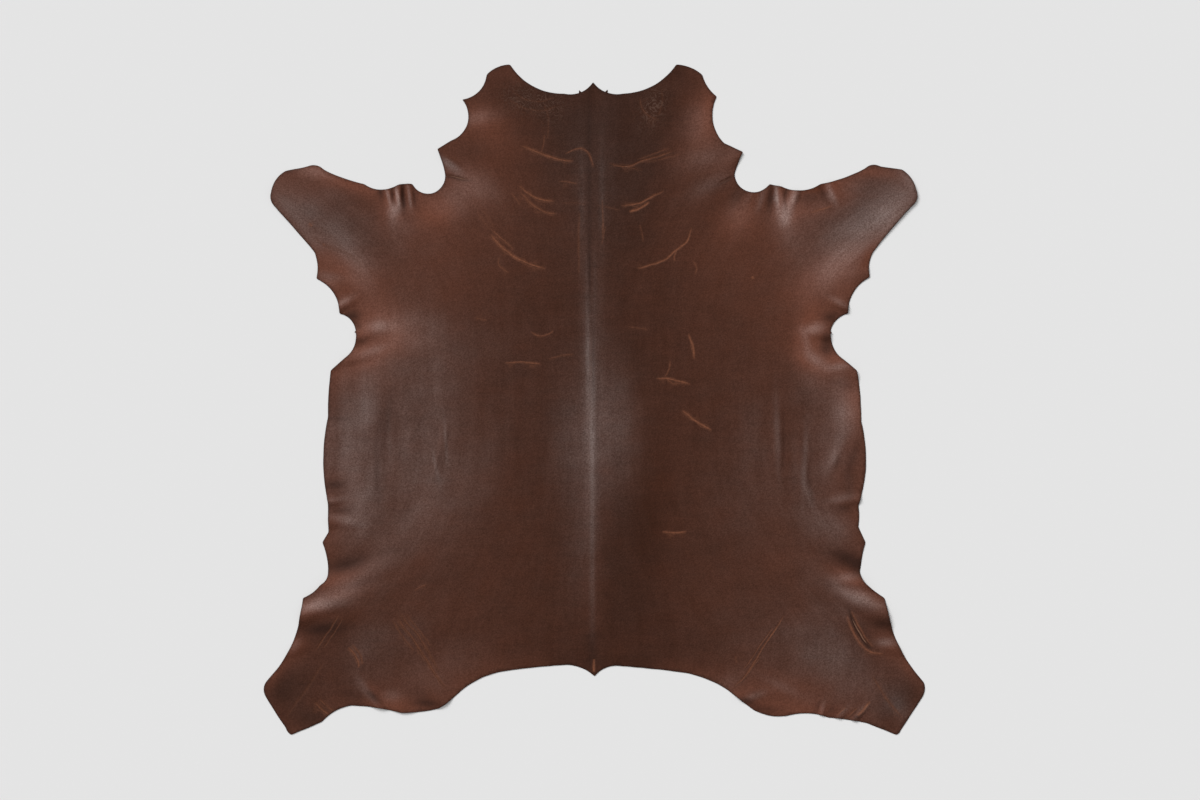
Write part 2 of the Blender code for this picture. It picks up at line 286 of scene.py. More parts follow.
# Fine lines. Columns: name, half width, depth, paleness and path. Where two of them cross, the
# points of the first are kept, so their order is part of the shape.
LINES = (
    # Broad creases and grooves of the fore legs, the throat, the flanks and the belly.
    Line("fore leg crease, left", 6, 1, 0.15,
         ((-975, 1712), (-925, 1680), (-870, 1662), (-820, 1640), (-782, 1597))),
    Line("shoulder strand, left", 3, 0.3, 0.25, ((-398, 1795), (-375, 1762), (-355, 1730))),
    Line("shoulder strand, inner left", 3, 0.3, 0.2, ((-380, 1800), (-352, 1765), (-338, 1738))),
    Line("fine scratch, right withers", 3, -0.2, 0.3, ((160, 1752), (168, 1725), (172, 1690))),
    Line("throat crease, left", 6, 2, 0.15, ((-505, 1921), (-465, 1912), (-425, 1903))),
    Line("throat crease, right", 6, 2, 0.15, ((482, 1918), (460, 1906), (432, 1893))),
    Line("flank groove, left", 14, 1.1, 0, ((-713, 1146), (-744, 986), (-732, 764))),
    Line("rib groove, outer left", 13, 0.8, 0, ((-572, 1109), (-600, 1050), (-627, 998))),
    Line("rib groove, inner left", 9, 0.8, 0, ((-532, 1060), (-538, 1000), (-546, 940))),
    Line("rib ridge, left", 7, -1, 0, ((-500, 1070), (-506, 1000), (-512, 930))),
    Line("rib ridge, low left", 7, -1, 0, ((-528, 975), (-540, 920), (-552, 870))),
    Line("belly squiggle, left", 6, 0.6, 0, ((-880, 1010), (-850, 985), (-815, 992), (-800, 960))),
    Line("rib groove, right", 11, 1.0, 0, ((652, 1120), (656, 1000), (650, 890))),
    Line("belly groove, right", 10, 0.8, 0, ((742, 1040), (752, 950), (740, 870), (758, 790))),
    # Neck.
    Line("neck wrinkle, left", 4, 1.2, 0.85,
         ((-248, 2023), (-177, 1994), (-131, 1977), (-90, 1969), (-64, 1969))),
    Line("neck strand, left", 3, 0.4, 0.4, ((-178, 1996), (-170, 2030), (-166, 2060))),
    Line("neck hook", 3, 0.6, 0.7,
         ((-97, 1992), (-75, 2006), (-45, 2015), (-22, 2007), (-8, 1985), (2, 1945))),
    Line("neck wrinkle, right", 4, 1.5, 0.6,
         ((52, 1961), (88, 1951), (123, 1949), (165, 1969), (228, 1986), (278, 2003))),
    Line("neck strand, right", 3, 0.4, 0.35, ((150, 1973), (205, 1992), (262, 2014))),
    Line("neck strand, far right", 3, 0.3, 0.3, ((175, 1964), (235, 1975), (300, 1992))),
    Line("neck fork, right", 4, 1.2, 0.3, ((105, 1952), (140, 1942), (172, 1935))),
    Line("short neck wrinkle", 3, 0.4, 0.35, ((-120, 1900), (-85, 1898), (-52, 1890))),
    # Collar.
    Line("upper collar wrinkle, left", 4, 0.9, 0.85,
         ((-256, 1886), (-223, 1856), (-181, 1836), (-131, 1831))),
    Line("lower collar wrinkle, left", 4, 0.9, 0.7,
         ((-252, 1865), (-214, 1823), (-177, 1798), (-150, 1789), (-125, 1787))),
    Line("collar strand, left", 3, 0.3, 0.35, ((-285, 1862), (-262, 1838), (-250, 1812))),
    Line("upper collar wrinkle, right", 4, 0.9, 0.8,
         ((94, 1815), (161, 1823), (203, 1848), (244, 1865))),
    Line("lower collar wrinkle, right", 5, 0.9, 1, ((123, 1794), (165, 1807), (194, 1831))),
    Line("collar crossing, left", 3, 0.4, 0.2, ((-110, 1824), (-60, 1826), (-25, 1818))),
    Line("collar crossing, right", 3, 0.4, 0.2, ((10, 1816), (50, 1810), (95, 1800))),
    # Rein marks and withers.
    Line("rein mark, left", 4, 0.5, 0.3, ((-47, 1800), (-50, 1690), (-48, 1575))),
    Line("rein mark, right", 4, 0.5, 0.4, ((31, 1840), (34, 1760), (33, 1700))),
    Line("rein mark fork", 3, 0.4, 0.35, ((42, 1745), (34, 1700), (30, 1680))),
    Line("wither wrinkle, left", 4, 0.9, 1,
         ((-358, 1722), (-313, 1671), (-267, 1637), (-200, 1609), (-160, 1600))),
    Line("wither strand, left", 3, 0.5, 0.55, ((-352, 1738), (-305, 1695), (-268, 1662))),
    Line("wither squiggle, left", 3, 0.4, 0.5,
         ((-320, 1640), (-330, 1613), (-305, 1595), (-286, 1582))),
    Line("wither wrinkle, right", 4, 0.8, 0.9,
         ((147, 1600), (212, 1616), (246, 1627), (284, 1664), (322, 1688), (340, 1745))),
    Line("wither spur, right", 3, 0.4, 0.55, ((288, 1664), (275, 1640), (282, 1622))),
    Line("wither squiggle, right", 3, 0.4, 0.5, ((343, 1628), (359, 1600), (349, 1578))),
    # Scratches on the back and the flanks.
    Line("smile scratch", 3, -0.3, 0.55, ((-215, 1385), (-193, 1369), (-160, 1369), (-135, 1388))),
    Line("long scratch, left", 3, -0.3, 0.7, ((-305, 1275), (-248, 1280), (-176, 1272))),
    Line("long scratch, inner", 3, -0.3, 0.4, ((-155, 1290), (-115, 1300), (-65, 1308))),
    Line("far scratch, left", 3, -0.3, 0.35, ((-405, 1430), (-365, 1424))),
    Line("bow scratch", 4, -0.4, 0.9, ((326, 1378), (344, 1331), (347, 1286))),
    Line("faint scratch, right", 3, -0.2, 0.3, ((120, 1400), (189, 1390))),
    Line("thorn scratch", 3, -0.4, 1, ((215, 1220), (246, 1226), (277, 1218), (335, 1203))),
    Line("thorn scratch, upper", 3, -0.3, 0.55, ((265, 1285), (262, 1252), (246, 1228))),
    Line("thorn scratch, twig", 3, -0.3, 0.5, ((250, 1222), (278, 1200), (300, 1208))),
    Line("bright scratch", 4, -0.5, 1, ((305, 1115), (349, 1078), (408, 1044))),
    Line("short scratch, low right", 3, -0.3, 0.85, ((234, 698), (277, 692), (323, 698))),
    Line("short scratch, low left", 3, -0.3, 0.35, ((-615, 495), (-572, 517))),
    # Left haunch and hind shank.
    Line("haunch wrinkle, left", 4, 1.8, 0.6,
         ((-678, 412), (-650, 368), (-626, 342), (-574, 261), (-541, 205), (-499, 154))),
    Line("haunch strand, left", 4, 1.6, 0.5,
         ((-664, 422), (-636, 376), (-606, 352), (-558, 270), (-528, 214))),
    Line("haunch strand, inner left", 3, 1.3, 0.4, ((-646, 416), (-590, 352), (-556, 300))),
    Line("haunch strand, outer left", 3, 1.2, 0.4, ((-690, 396), (-655, 336), (-610, 284))),
    Line("outer haunch wrinkle, left", 4, 1.2, 0.4,
         ((-872, 412), (-898, 366), (-918, 342), (-952, 286))),
    Line("outer haunch strand, left", 3, 1, 0.3, ((-858, 402), (-888, 350), (-926, 296))),
    Line("haunch hook, left", 4, 1.5, 0.8, ((-842, 302), (-820, 280), (-807, 256), (-804, 228))),
    Line("haunch hook strand, left", 4, 1.2, 0.55,
         ((-829, 310), (-806, 287), (-793, 262), (-791, 238))),
    Line("shank wrinkle, left", 5, 1.8, 0.6, ((-955, 112), (-934, 90), (-905, 68))),
    Line("shank strand, left", 4, 1.3, 0.5, ((-942, 124), (-918, 100), (-890, 80))),
    Line("long shank line, left", 6, 0.7, 0.18, ((-925, 245), (-990, 145), (-1054, 62))),
    # Right haunch and hind shank.
    Line("haunch wrinkle, right", 4, 1.6, 0.7,
         ((656, 411), (628, 366), (582, 299), (544, 233), (518, 196), (484, 163))),
    Line("haunch strand, right", 3, 1.4, 0.45, ((622, 372), (574, 310), (542, 258), (515, 222))),
    Line("haunch strand, lower right", 3, 1.1, 0.4, ((577, 272), (550, 236), (524, 196))),
    Line("outer haunch groove, right", 7, 2.2, 0, ((880, 418), (908, 358), (950, 297))),
    # Painted highlights: the two pale lines below stand for the lit edges of this crease.
    Line("outer haunch wrinkle, right", 4, -1, 0.75,
         ((869, 414), (888, 362), (911, 320), (940, 287), (966, 279), (1000, 280))),
    Line("outer haunch strand, right", 4, -1, 0.65,
         ((884, 428), (905, 384), (930, 338), (962, 300))),
    Line("shank wrinkle, right", 6, 2, 0.8, ((952, 116), (930, 90), (905, 64))),
    Line("shank strand, right", 4, 1.3, 0.4, ((905, 92), (888, 74), (872, 62))),
    Line("shank strand, inner right", 4, 1.2, 0.35, ((868, 96), (850, 80), (838, 66))),
    Line("short haunch mark, right", 3, 0.4, 0.3, ((489, 272), (494, 242))),
    Line("long shank line, right", 6, 0.7, 0.35, ((955, 205), (1010, 118), (1064, 55))),
    # Odd marks of the shoulders, the fore legs and the tail.
    Line("shoulder speck", 5, -0.3, 0.7, ((545, 1574), (551, 1563))),
    Line("fore leg crease, right", 4, 0.6, 0.55, ((745, 1790), (785, 1804), (822, 1813))),
    Line("fore leg mark, left", 4, 0.4, 0.5, ((-975, 1756), (-962, 1744))),
    Line("fore leg mark, lower left", 4, 0.4, 0.5, ((-930, 1686), (-918, 1676))),
    Line("tail split", 5, 1.4, 1, ((3, 262), (1, 238), (3, 214))),
    # Behind the ears.
    Line("ear loop, left", 3, 0.5, 0.2, ((-285, 2215), (-240, 2180), (-180, 2170), (-130, 2190))),
    Line("ear loop, lower left", 3, 0.5, 0.2,
         ((-290, 2180), (-235, 2148), (-170, 2140), (-120, 2160))),
    Line("ear crease, left", 3, 0.5, 0.2, ((-170, 2170), (-150, 2110), (-158, 2040))),
    Line("ear loop, right", 3, 0.6, 0.3, ((160, 2190), (165, 2150), (195, 2118), (230, 2110))),
    Line("ear strand, right", 3, 0.5, 0.2, ((235, 2215), (240, 2170), (222, 2120))),
)

# Wax and painted sheen: a grey painted sheen where the wax was burnished, and painted highlights
# on the crests of the folds and along the backbone. Columns: x, up, reach, breadth, lean, strength.
WAX_AND_PAINTED_SHEEN = patches(
    # Neck.
    (-395, 2120, 60, 24, 8, 0.42),
    (360, 2095, 65, 45, 80, 0.3),
    (395, 1985, 100, 50, 15, 0.3),
    (45, 1960, 230, 35, 90, 0.05),
    (-487, 1957, 36, 9, -32, 0.7),
    (-495, 1950, 45, 13, -37, 0.7),
    (-45, 1950, 230, 40, 90, 0.06),
    (0, 1950, 250, 170, 90, 0.1),
    (400, 1890, 90, 28, 30, 0.28),
    (-405, 1885, 75, 42, -30, 0.48),
    (30, 1860, 170, 8, 90, 0.24),
    (535, 1845, 35, 8, 65, 0.25),
    (-475, 1828, 50, 48, 40, 0.36),
    (-40, 1800, 190, 8, 90, 0.15),
    (500, 1790, 50, 35, 60, 0.28),
    # Left shoulder and fore leg.
    (-950, 1930, 60, 18, -15, 0.5),
    (-703, 1850, 32, 5, 105, 1.6),
    (-671, 1850, 36, 6, 100, 1.8),
    (-560, 1850, 160, 90, -10, 0.06),
    (-630, 1848, 36, 5, 98, 1.2),
    (-1070, 1830, 60, 40, -50, 0.15),
    (-678, 1806, 22, 17, 90, 1.2),
    (-990, 1790, 125, 45, -38, 0.32),
    (-690, 1775, 35, 16, 100, 0.55),
    (-900, 1770, 200, 95, -40, 0.32),
    (-1000, 1745, 110, 20, -52, 0.35),
    (-655, 1735, 60, 40, 80, 0.18),
    (-876, 1712, 60, 30, -35, 0.2),
    (-640, 1700, 200, 140, 0, 0.04),
    (-870, 1665, 100, 22, -25, 0.3),
    (-810, 1610, 90, 35, -62, 0.45),
    (-900, 1572, 45, 15, -10, 0.45),
    (-925, 1560, 40, 14, -25, 0.35),
    (-850, 1490, 35, 12, 30, 0.6),
    # Right shoulder and fore leg.
    (1085, 1900, 50, 15, -50, 0.4),
    (760, 1880, 40, 15, 0, -0.4),
    (900, 1880, 60, 25, 20, 0.18),
    (815, 1862, 36, 9, -65, 1.1),
    (630, 1848, 45, 6, 94, 1.8),
    (686, 1838, 38, 12, 72, 1.4),
    (575, 1835, 38, 9, 75, 0.35),
    (1025, 1795, 90, 30, 48, 0.45),
    (750, 1790, 120, 90, -30, 0.15),
    (656, 1788, 42, 20, 98, 1.7),
    (950, 1770, 210, 110, 42, 0.35),
    (650, 1760, 70, 40, 95, 0.25),
    (955, 1742, 200, 70, 42, 0.8),
    (700, 1680, 120, 60, 100, 0.12),
    (945, 1648, 60, 22, 60, -0.4),
    (825, 1602, 85, 42, 50, 0.38),
    (845, 1485, 35, 11, -28, 0.5),
    # Backbone and saddle.
    (6, 1560, 120, 6, 90, 0.12),
    (-22, 1540, 160, 7, 90, 0.18),
    (-18, 1290, 120, 6, 90, 0.6),
    (0, 1250, 420, 50, 90, 0.13),
    (2, 1200, 130, 6, 90, 0.22),
    (-4, 1080, 370, 30, 90, 0.42),
    (-75, 1050, 260, 60, 90, 0.07),
    (70, 1050, 190, 75, 92, 0.46),
    (-4, 1010, 170, 8, 90, 0.5),
    (-75, 1000, 170, 65, 90, 0.24),
    (0, 1000, 700, 150, 90, 0.04),
    (10, 930, 160, 12, 90, 0.15),
    (-25, 740, 140, 35, 90, 0.08),
    (-3, 700, 220, 8, 90, 0.32),
    (-55, 620, 200, 45, 90, 0.12),
    (-3, 460, 130, 8, 90, 0.15),
    # Left ribs, notch and flank.
    (-728, 1402, 38, 20, 0, 0.85),
    (-650, 1400, 120, 60, -10, 0.36),
    (-400, 1330, 130, 90, 0, 0.08),
    (-755, 1318, 50, 13, 20, 0.5),
    (-760, 1290, 70, 50, 90, 0.2),
    (-700, 1270, 100, 50, 90, 0.15),
    (-560, 1260, 210, 115, 100, 0.24),
    (-786, 1170, 80, 25, 90, 0.13),
    (-838, 1150, 130, 35, 90, 0.18),
    (-780, 1110, 110, 42, 85, 0.5),
    (-200, 1100, 500, 200, 90, 0.03),
    (-700, 1030, 100, 8, 92, 0.2),
    (-670, 1020, 260, 70, 85, 0.2),
    (-505, 1000, 75, 6, 94, 0.4),
    (-915, 985, 110, 25, 90, 0.28),
    (-650, 970, 150, 25, 85, 0.14),
    (-855, 960, 110, 35, 95, 0.12),
    (-845, 960, 130, 45, 100, 0.25),
    (-560, 960, 230, 85, 80, 0.34),
    (-810, 950, 300, 90, 92, 0.28),
    (-540, 920, 60, 6, 102, 0.35),
    (-745, 900, 220, 35, 90, 0.12),
    (-605, 900, 90, 18, 80, 0.13),
    (-420, 850, 250, 80, 70, 0.16),
    (-878, 808, 45, 9, 5, 0.28),
    (-905, 800, 35, 15, 90, 0.12),
    (-800, 790, 130, 50, 70, 0.42),
    (-850, 737, 60, 13, -15, 0.45),
    (-790, 737, 60, 25, 90, 0.2),
    (-620, 720, 250, 70, 50, 0.26),
    # Right ribs, notch and flank.
    (758, 1393, 35, 18, 10, 0.9),
    (732, 1345, 50, 14, -75, 0.45),
    (765, 1285, 45, 18, -35, 0.7),
    (835, 1262, 40, 12, 8, 0.75),
    (745, 1220, 80, 60, 90, 0.2),
    (870, 1150, 150, 50, 90, 0.2),
    (860, 1110, 75, 45, 90, 0.5),
    (632, 1030, 130, 11, 92, 0.35),
    (551, 1029, 100, 30, 90, 0.1),
    (842, 1005, 90, 22, 60, 0.42),
    (800, 960, 280, 85, 90, 0.22),
    (560, 950, 200, 110, 90, 0.08),
    (825, 945, 45, 12, 65, 0.3),
    (726, 940, 120, 10, 87, 0.4),
    (690, 900, 100, 14, 90, 0.1),
    (738, 832, 60, 14, -72, 0.4),
    (850, 812, 50, 13, 12, 0.35),
    (600, 800, 200, 90, 100, 0.04),
    (200, 760, 200, 80, 90, -0.04),
    (470, 760, 160, 120, 90, 0.05),
    (780, 720, 100, 45, -35, 0.33),
    (850, 720, 50, 40, -20, 0.2),
    # Left hind leg and rump.
    (-760, 560, 110, 32, 35, 0.15),
    (-855, 500, 80, 30, 28, 0.8),
    (-955, 475, 50, 20, 15, 0.35),
    (-942, 443, 75, 17, 10, 1.2),
    (-820, 400, 80, 40, 20, -0.1),
    (-755, 350, 70, 60, 90, 0.15),
    (-640, 320, 130, 60, 70, 0.1),
    (-1022, 305, 25, 12, 60, 0.3),
    (-440, 270, 90, 60, 0, 0.08),
    (-790, 260, 90, 60, 90, 0.15),
    (-560, 190, 110, 60, 20, 0.15),
    (-783, 165, 45, 12, -52, 0.25),
    (-770, 135, 45, 12, 137, 0.3),
    (-688, 135, 35, 20, 0, 0.3),
    # Right hind leg and rump.
    (780, 540, 120, 50, -50, 0.1),
    (870, 540, 40, 14, 5, 0.5),
    (898, 478, 80, 25, -28, 1.2),
    (990, 445, 35, 13, 0, 0.3),
    (785, 420, 110, 30, -55, 0.13),
    (870, 410, 60, 30, -40, 0.15),
    (1008, 318, 30, 14, 0, 0.75),
    (870, 300, 110, 45, -50, 0.1),
    (810, 260, 150, 70, -45, 0.28),
    (760, 250, 260, 130, -20, 0.16),
    (470, 185, 60, 30, 20, 0.22),
    (650, 165, 70, 15, -25, 0.3),
    (545, 130, 45, 13, 20, 0.6),
    (1000, 130, 130, 80, 30, 0.1),
    (1050, 100, 60, 30, -50, 0.25),
    (788, 95, 28, 8, 77, 0.3),
    (925, 85, 35, 8, 45, 0.35),
    (860, 80, 28, 8, 50, 0.35),
)

# Red-brown warmth of thin and stretched leather, and a painted warm glow where the notch folds
# catch the light. Columns as above.
WARMTH = patches(
    # Neck.
    (270, 2280, 60, 40, 0, -0.3),
    (-150, 2195, 120, 30, -5, -0.35),
    (30, 2190, 160, 40, 0, -0.2),
    (-220, 2170, 90, 60, 0, -0.15),
    (210, 2160, 80, 60, 90, -0.15),
    (400, 2140, 60, 20, 90, 0.4),
    (-395, 2120, 70, 45, 0, 0.45),
    (40, 2110, 150, 70, 0, -0.1),
    (375, 2110, 90, 50, 80, 0.6),
    (-340, 2060, 90, 60, -35, 0.3),
    (60, 2060, 180, 160, 0, -0.4),
    (-300, 2010, 160, 200, 0, 0.12),
    (330, 2010, 110, 120, 0, 0.1),
    (400, 1980, 150, 80, -10, 0.15),
    (-430, 1900, 90, 60, -40, 0.35),
    (-345, 1890, 80, 100, 0, 0.1),
    (495, 1852, 50, 25, 60, -0.35),
    (-530, 1800, 80, 55, 20, 0.65),
    (110, 1800, 170, 90, 100, -0.12),
    (500, 1780, 80, 55, 60, 0.5),
    # Left shoulder and fore leg.
    (-950, 1940, 60, 25, -10, 0.5),
    (-930, 1930, 80, 30, -20, 0.15),
    (-850, 1905, 60, 20, -15, 0.25),
    (-1000, 1880, 120, 60, -20, 0.22),
    (-800, 1880, 120, 30, -15, 0.55),
    (-612, 1868, 30, 20, 90, 0.85),
    (-1060, 1850, 80, 80, 0, 0.06),
    (-690, 1820, 60, 40, 90, 0.6),
    (-930, 1770, 130, 50, -38, -0.1),
    (-650, 1760, 240, 100, 5, 0.15),
    (-760, 1700, 120, 50, -35, -0.15),
    (-560, 1620, 290, 200, 20, 0.2),
    (-850, 1590, 120, 60, -30, 0.6),
    (-930, 1560, 50, 20, -25, 0.35),
    (-860, 1490, 50, 50, 60, 0.25),
    # Right shoulder and fore leg.
    (950, 1930, 70, 18, -5, 0.35),
    (1000, 1930, 60, 25, 0, 0.15),
    (830, 1900, 50, 18, 10, 0.3),
    (850, 1890, 110, 40, 20, 0.2),
    (820, 1880, 45, 20, -60, 0.5),
    (700, 1868, 60, 18, 0, 0.65),
    (867, 1849, 50, 35, 20, 0.25),
    (665, 1810, 60, 45, 90, 0.85),
    (760, 1800, 70, 30, 10, 0.4),
    (940, 1800, 130, 55, 45, -0.14),
    (1020, 1800, 160, 90, 45, 0.14),
    (640, 1740, 130, 90, 0, 0.12),
    (560, 1640, 270, 190, -20, 0.2),
    (1000, 1640, 60, 50, 60, 0.6),
    (820, 1600, 170, 55, 30, 0.45),
    (850, 1580, 120, 60, 60, 0.3),
    (850, 1509, 50, 30, 40, 0.25),
    (740, 1500, 80, 50, 80, 0.15),
    # Backbone and saddle.
    (140, 1300, 300, 130, 90, -0.05),
    (100, 1000, 200, 70, 90, 0.1),
    (0, 950, 370, 60, 90, 0.12),
    (120, 650, 300, 130, 85, -0.14),
    (10, 520, 170, 45, 90, 0.12),
    (-80, 245, 90, 30, 0, -0.2),
    (130, 245, 110, 30, 0, -0.25),
    # Left ribs, notch and flank.
    (-770, 1430, 90, 60, 60, 0.25),
    (-680, 1430, 160, 110, -10, 0.08),
    (-815, 1400, 30, 20, 0, -0.5),
    (-740, 1388, 35, 18, 0, 0.7),
    (-720, 1380, 110, 75, -15, 0.7),
    (-760, 1310, 70, 30, 20, 0.55),
    (-769, 1273, 50, 25, 20, 0.25),
    (-870, 1250, 110, 60, 0, 0.05),
    (-850, 1250, 70, 60, 0, 0.35),
    (-250, 1250, 300, 130, 90, -0.04),
    (-740, 1235, 60, 50, 90, 0.2),
    (-870, 1000, 330, 70, 90, 0.02),
    (-820, 760, 200, 60, 90, 0.08),
    (-560, 760, 130, 110, 60, 0.08),
    (-900, 700, 110, 60, 90, 0.15),
    # Right ribs, notch and flank.
    (700, 1430, 150, 100, 60, 0.15),
    (815, 1406, 40, 30, 90, 0.35),
    (745, 1370, 90, 42, 80, 0.8),
    (745, 1365, 60, 30, 0, 0.35),
    (840, 1298, 45, 30, -30, 0.4),
    (770, 1280, 90, 35, -20, 0.65),
    (775, 1235, 60, 50, 90, 0.2),
    (885, 1190, 120, 55, 90, 0.2),
    (900, 1130, 90, 40, 90, 0.4),
    (400, 980, 260, 130, 90, -0.05),
    (860, 950, 280, 70, 90, 0.19),
    (880, 864, 60, 20, 90, -0.25),
    (900, 800, 150, 50, 90, 0.03),
    # Left hind leg and rump.
    (-780, 590, 130, 40, 35, 0.15),
    (-700, 545, 140, 30, 25, 0.15),
    (-880, 520, 110, 50, 25, 0.5),
    (-862, 490, 60, 30, 28, 0.25),
    (-960, 430, 70, 30, 5, 0.5),
    (-1030, 300, 50, 40, 60, 0.35),
    (-1000, 300, 110, 80, 60, 0.15),
    (-880, 300, 200, 140, 0, -0.1),
    (-400, 300, 250, 130, 20, -0.03),
    (-1095, 215, 60, 25, 60, 0.6),
    (-500, 190, 200, 80, 15, 0.2),
    (-765, 158, 40, 20, -50, 0.3),
    (-1050, 150, 100, 80, 60, -0.25),
    (-640, 110, 120, 40, 0, 0.2),
    (-680, 100, 90, 40, 0, 0.3),
    (-960, 60, 60, 35, 25, -0.35),
    # Right hind leg and rump.
    (690, 600, 120, 40, 0, 0.12),
    (915, 560, 35, 25, 0, -0.35),
    (890, 520, 80, 45, -30, 0.55),
    (980, 450, 50, 30, 0, 0.15),
    (925, 335, 75, 8, -58, 0.3),
    (300, 330, 260, 120, 0, -0.06),
    (1010, 310, 60, 35, -50, 0.2),
    (1010, 290, 130, 70, -60, 0.15),
    (900, 280, 200, 140, 0, -0.12),
    (1085, 230, 60, 25, -60, 0.3),
    (700, 170, 260, 90, 0, 0.12),
    (650, 140, 250, 70, -5, 0.25),
    (520, 112, 35, 20, -20, 0.85),
    (1050, 110, 100, 80, 60, -0.25),
    (700, 85, 140, 25, -5, 0.35),
)

# Painted shade in the hollows and valleys of the folds, along the creases and the backbone, and a
# few broad darker patches. Columns as above.
SHADE = patches(
    # Neck.
    (-80, 2110, 110, 110, 0, 0.2),
    (90, 2010, 210, 120, 85, 0.3),
    (-480, 1914, 45, 9, -12, 0.6),
    (464, 1907, 40, 9, 28, 0.6),
    (-14, 1900, 330, 7, 90, 0.6),
    # Left shoulder and fore leg.
    (-731, 1862, 28, 11, 100, 1.0),
    (-690, 1856, 32, 7, 98, 1.0),
    (-614, 1850, 38, 8, 95, 0.9),
    (-652, 1840, 48, 8, 96, 1.2),
    (-880, 1800, 150, 35, -30, 0.15),
    # Right shoulder and fore leg.
    (663, 1866, 24, 8, 80, 0.9),
    (788, 1862, 35, 12, -65, 0.6),
    (740, 1850, 42, 22, 0, 0.45),
    (608, 1840, 48, 12, 85, 0.9),
    # Backbone and saddle.
    (-12, 1600, 120, 5, 90, 0.5),
    (1, 1280, 130, 4, 90, 0.5),
    (150, 620, 260, 130, 80, 0.12),
    (-4, 290, 60, 18, 90, 0.55),
    # Left ribs, notch and flank.
    (-827, 1437, 30, 20, 0, 1.0),
    (-798, 1352, 25, 12, 0, 0.5),
    (-870, 1085, 40, 10, 0, 0.4),
    (-708, 1070, 120, 12, 80, 0.35),
    (-888, 858, 35, 15, 0, 0.75),
    (-865, 772, 45, 11, 0, 0.6),
    (-735, 622, 90, 22, 15, 0.2),
    (-830, 612, 90, 22, 12, 0.3),
    # Right ribs, notch and flank.
    (815, 1432, 30, 18, 0, 0.9),
    (800, 1360, 38, 24, 80, 0.85),
    (806, 1318, 20, 17, 0, 0.45),
    (880, 1200, 40, 18, -20, 0.4),
    (890, 950, 80, 14, 70, 0.45),
    (860, 775, 30, 13, 0, 0.55),
    (850, 628, 65, 16, -5, 0.3),
    (872, 602, 62, 23, -12, 0.95),
    # Left hind leg and rump.
    (-850, 580, 75, 25, 12, 0.85),
    (-930, 366, 90, 20, 5, 0.85),
    (-915, 350, 60, 18, 5, 0.2),
    (-960, 330, 80, 50, 30, 0.2),
    (-1080, 180, 90, 55, 60, 0.25),
    (-604, 141, 50, 24, -10, 0.4),
    (-830, 136, 50, 20, -15, 0.5),
    (-755, 134, 32, 12, -45, 0.9),
    (-570, 108, 48, 14, -5, 0.9),
    # Right hind leg and rump.
    (912, 582, 30, 18, 0, 0.75),
    (896, 388, 46, 7, -66, 1.0),
    (1000, 382, 50, 22, 0, 0.9),
    (925, 345, 70, 15, -58, 0.35),
    (930, 326, 46, 8, -56, 1.0),
    (1080, 130, 80, 60, 60, 0.2),
    (532, 114, 40, 14, -25, 0.9),
    (768, 92, 22, 6, 70, 0.7),
    (600, 88, 60, 12, 0, 0.5),
    (812, 84, 22, 6, 60, 0.6),
    (905, 62, 30, 7, 50, 0.7),
)

# Looped wrinkles behind the ears and, faintly, left of the collar. Columns as above.
LOOPS = patches(
    (-225, 2180, 80, 45, -12, 1.0),
    (205, 2155, 75, 38, 75, 1.0),
    (-130, 2150, 60, 40, 60, 0.5),
    (-330, 1830, 120, 60, -50, 0.25),
)

# Slivers along the edge. Columns: x, up and length.
TAGS = (
    Tag(-46, 2212, 9),
    Tag(46, 2212, 10),
    Tag(-812, 1383, 5),
    Tag(815, 1380, 5),
)


def linear_colour(hex_code: str) -> Colour:
    """Turn an sRGB hex code to a linear colour.

    Args:
        hex_code: Six hex digits, such as "653725".

    Returns:
        Linear red, green, blue and an alpha of 1.
    """
    shares = [int(hex_code[place : place + 2], 16) / 255 for place in (0, 2, 4)]
    red, green, blue = (s / 12.92 if s <= 0.04045 else ((s + 0.055) / 1.055) ** 2.4 for s in shares)
    return red, green, blue, 1.0


def add_node(
    tree: bpy.types.NodeTree, kind: str, settings: dict[Any, Any], **links: Socket
) -> bpy.types.Node:
    """Add a node with its settings and links.

    Args:
        tree: The node tree to add to.
        kind: The node's type, such as "ShaderNodeTexNoise".
        settings: Attribute names, or input names or places, with their values.
        links: Input names, or places as "i0", with the sockets that feed them.

    Returns:
        The new node.
    """
    node = tree.nodes.new(kind)
    for name, value in settings.items():
        if isinstance(name, int) or name in node.inputs:
            node.inputs[name].default_value = value
        else:
            setattr(node, name, value)
    for name, socket in links.items():
        place = int(name[1:]) if name[1:].isdigit() else name
        tree.links.new(socket, node.inputs[place])
    return node


def start_material(name: str) -> tuple[bpy.types.Material, bpy.types.NodeTree, bpy.types.Node]:
    """Make a material with nodes.

    Args:
        name: Its name.

    Returns:
        The material, its node tree and its shader.
    """
    material = bpy.data.materials.new(name)
    material.use_nodes = True
    return material, material.node_tree, material.node_tree.nodes["Principled BSDF"]


def weighted_noise(
    tree: bpy.types.NodeTree, noises: dict[str, Socket], weights: Weights, start: float | Socket
) -> Socket:
    """The sum of a starting value and some noises, each times its weight.

    Args:
        tree: The node tree to add to.
        noises: Noise sockets by name.
        weights: Names of noises with their weights.
        start: The starting value, as a number or a socket.

    Returns:
        The socket of the sum.
    """
    for name, weight in weights:
        settings = {"operation": "MULTIPLY_ADD", 1: weight}
        links = {"i0": noises[name]}
        if isinstance(start, float):
            settings[2] = start
        else:
            links["i2"] = start
        start = add_node(tree, "ShaderNodeMath", settings, **links).outputs[0]
    return start


def hill(share: Array) -> Array:
    """A smooth bump: the square of one less the share squared, and 0 from a share of 1 outwards."""
    return np.clip(1 - share**2, 0, None) ** 2


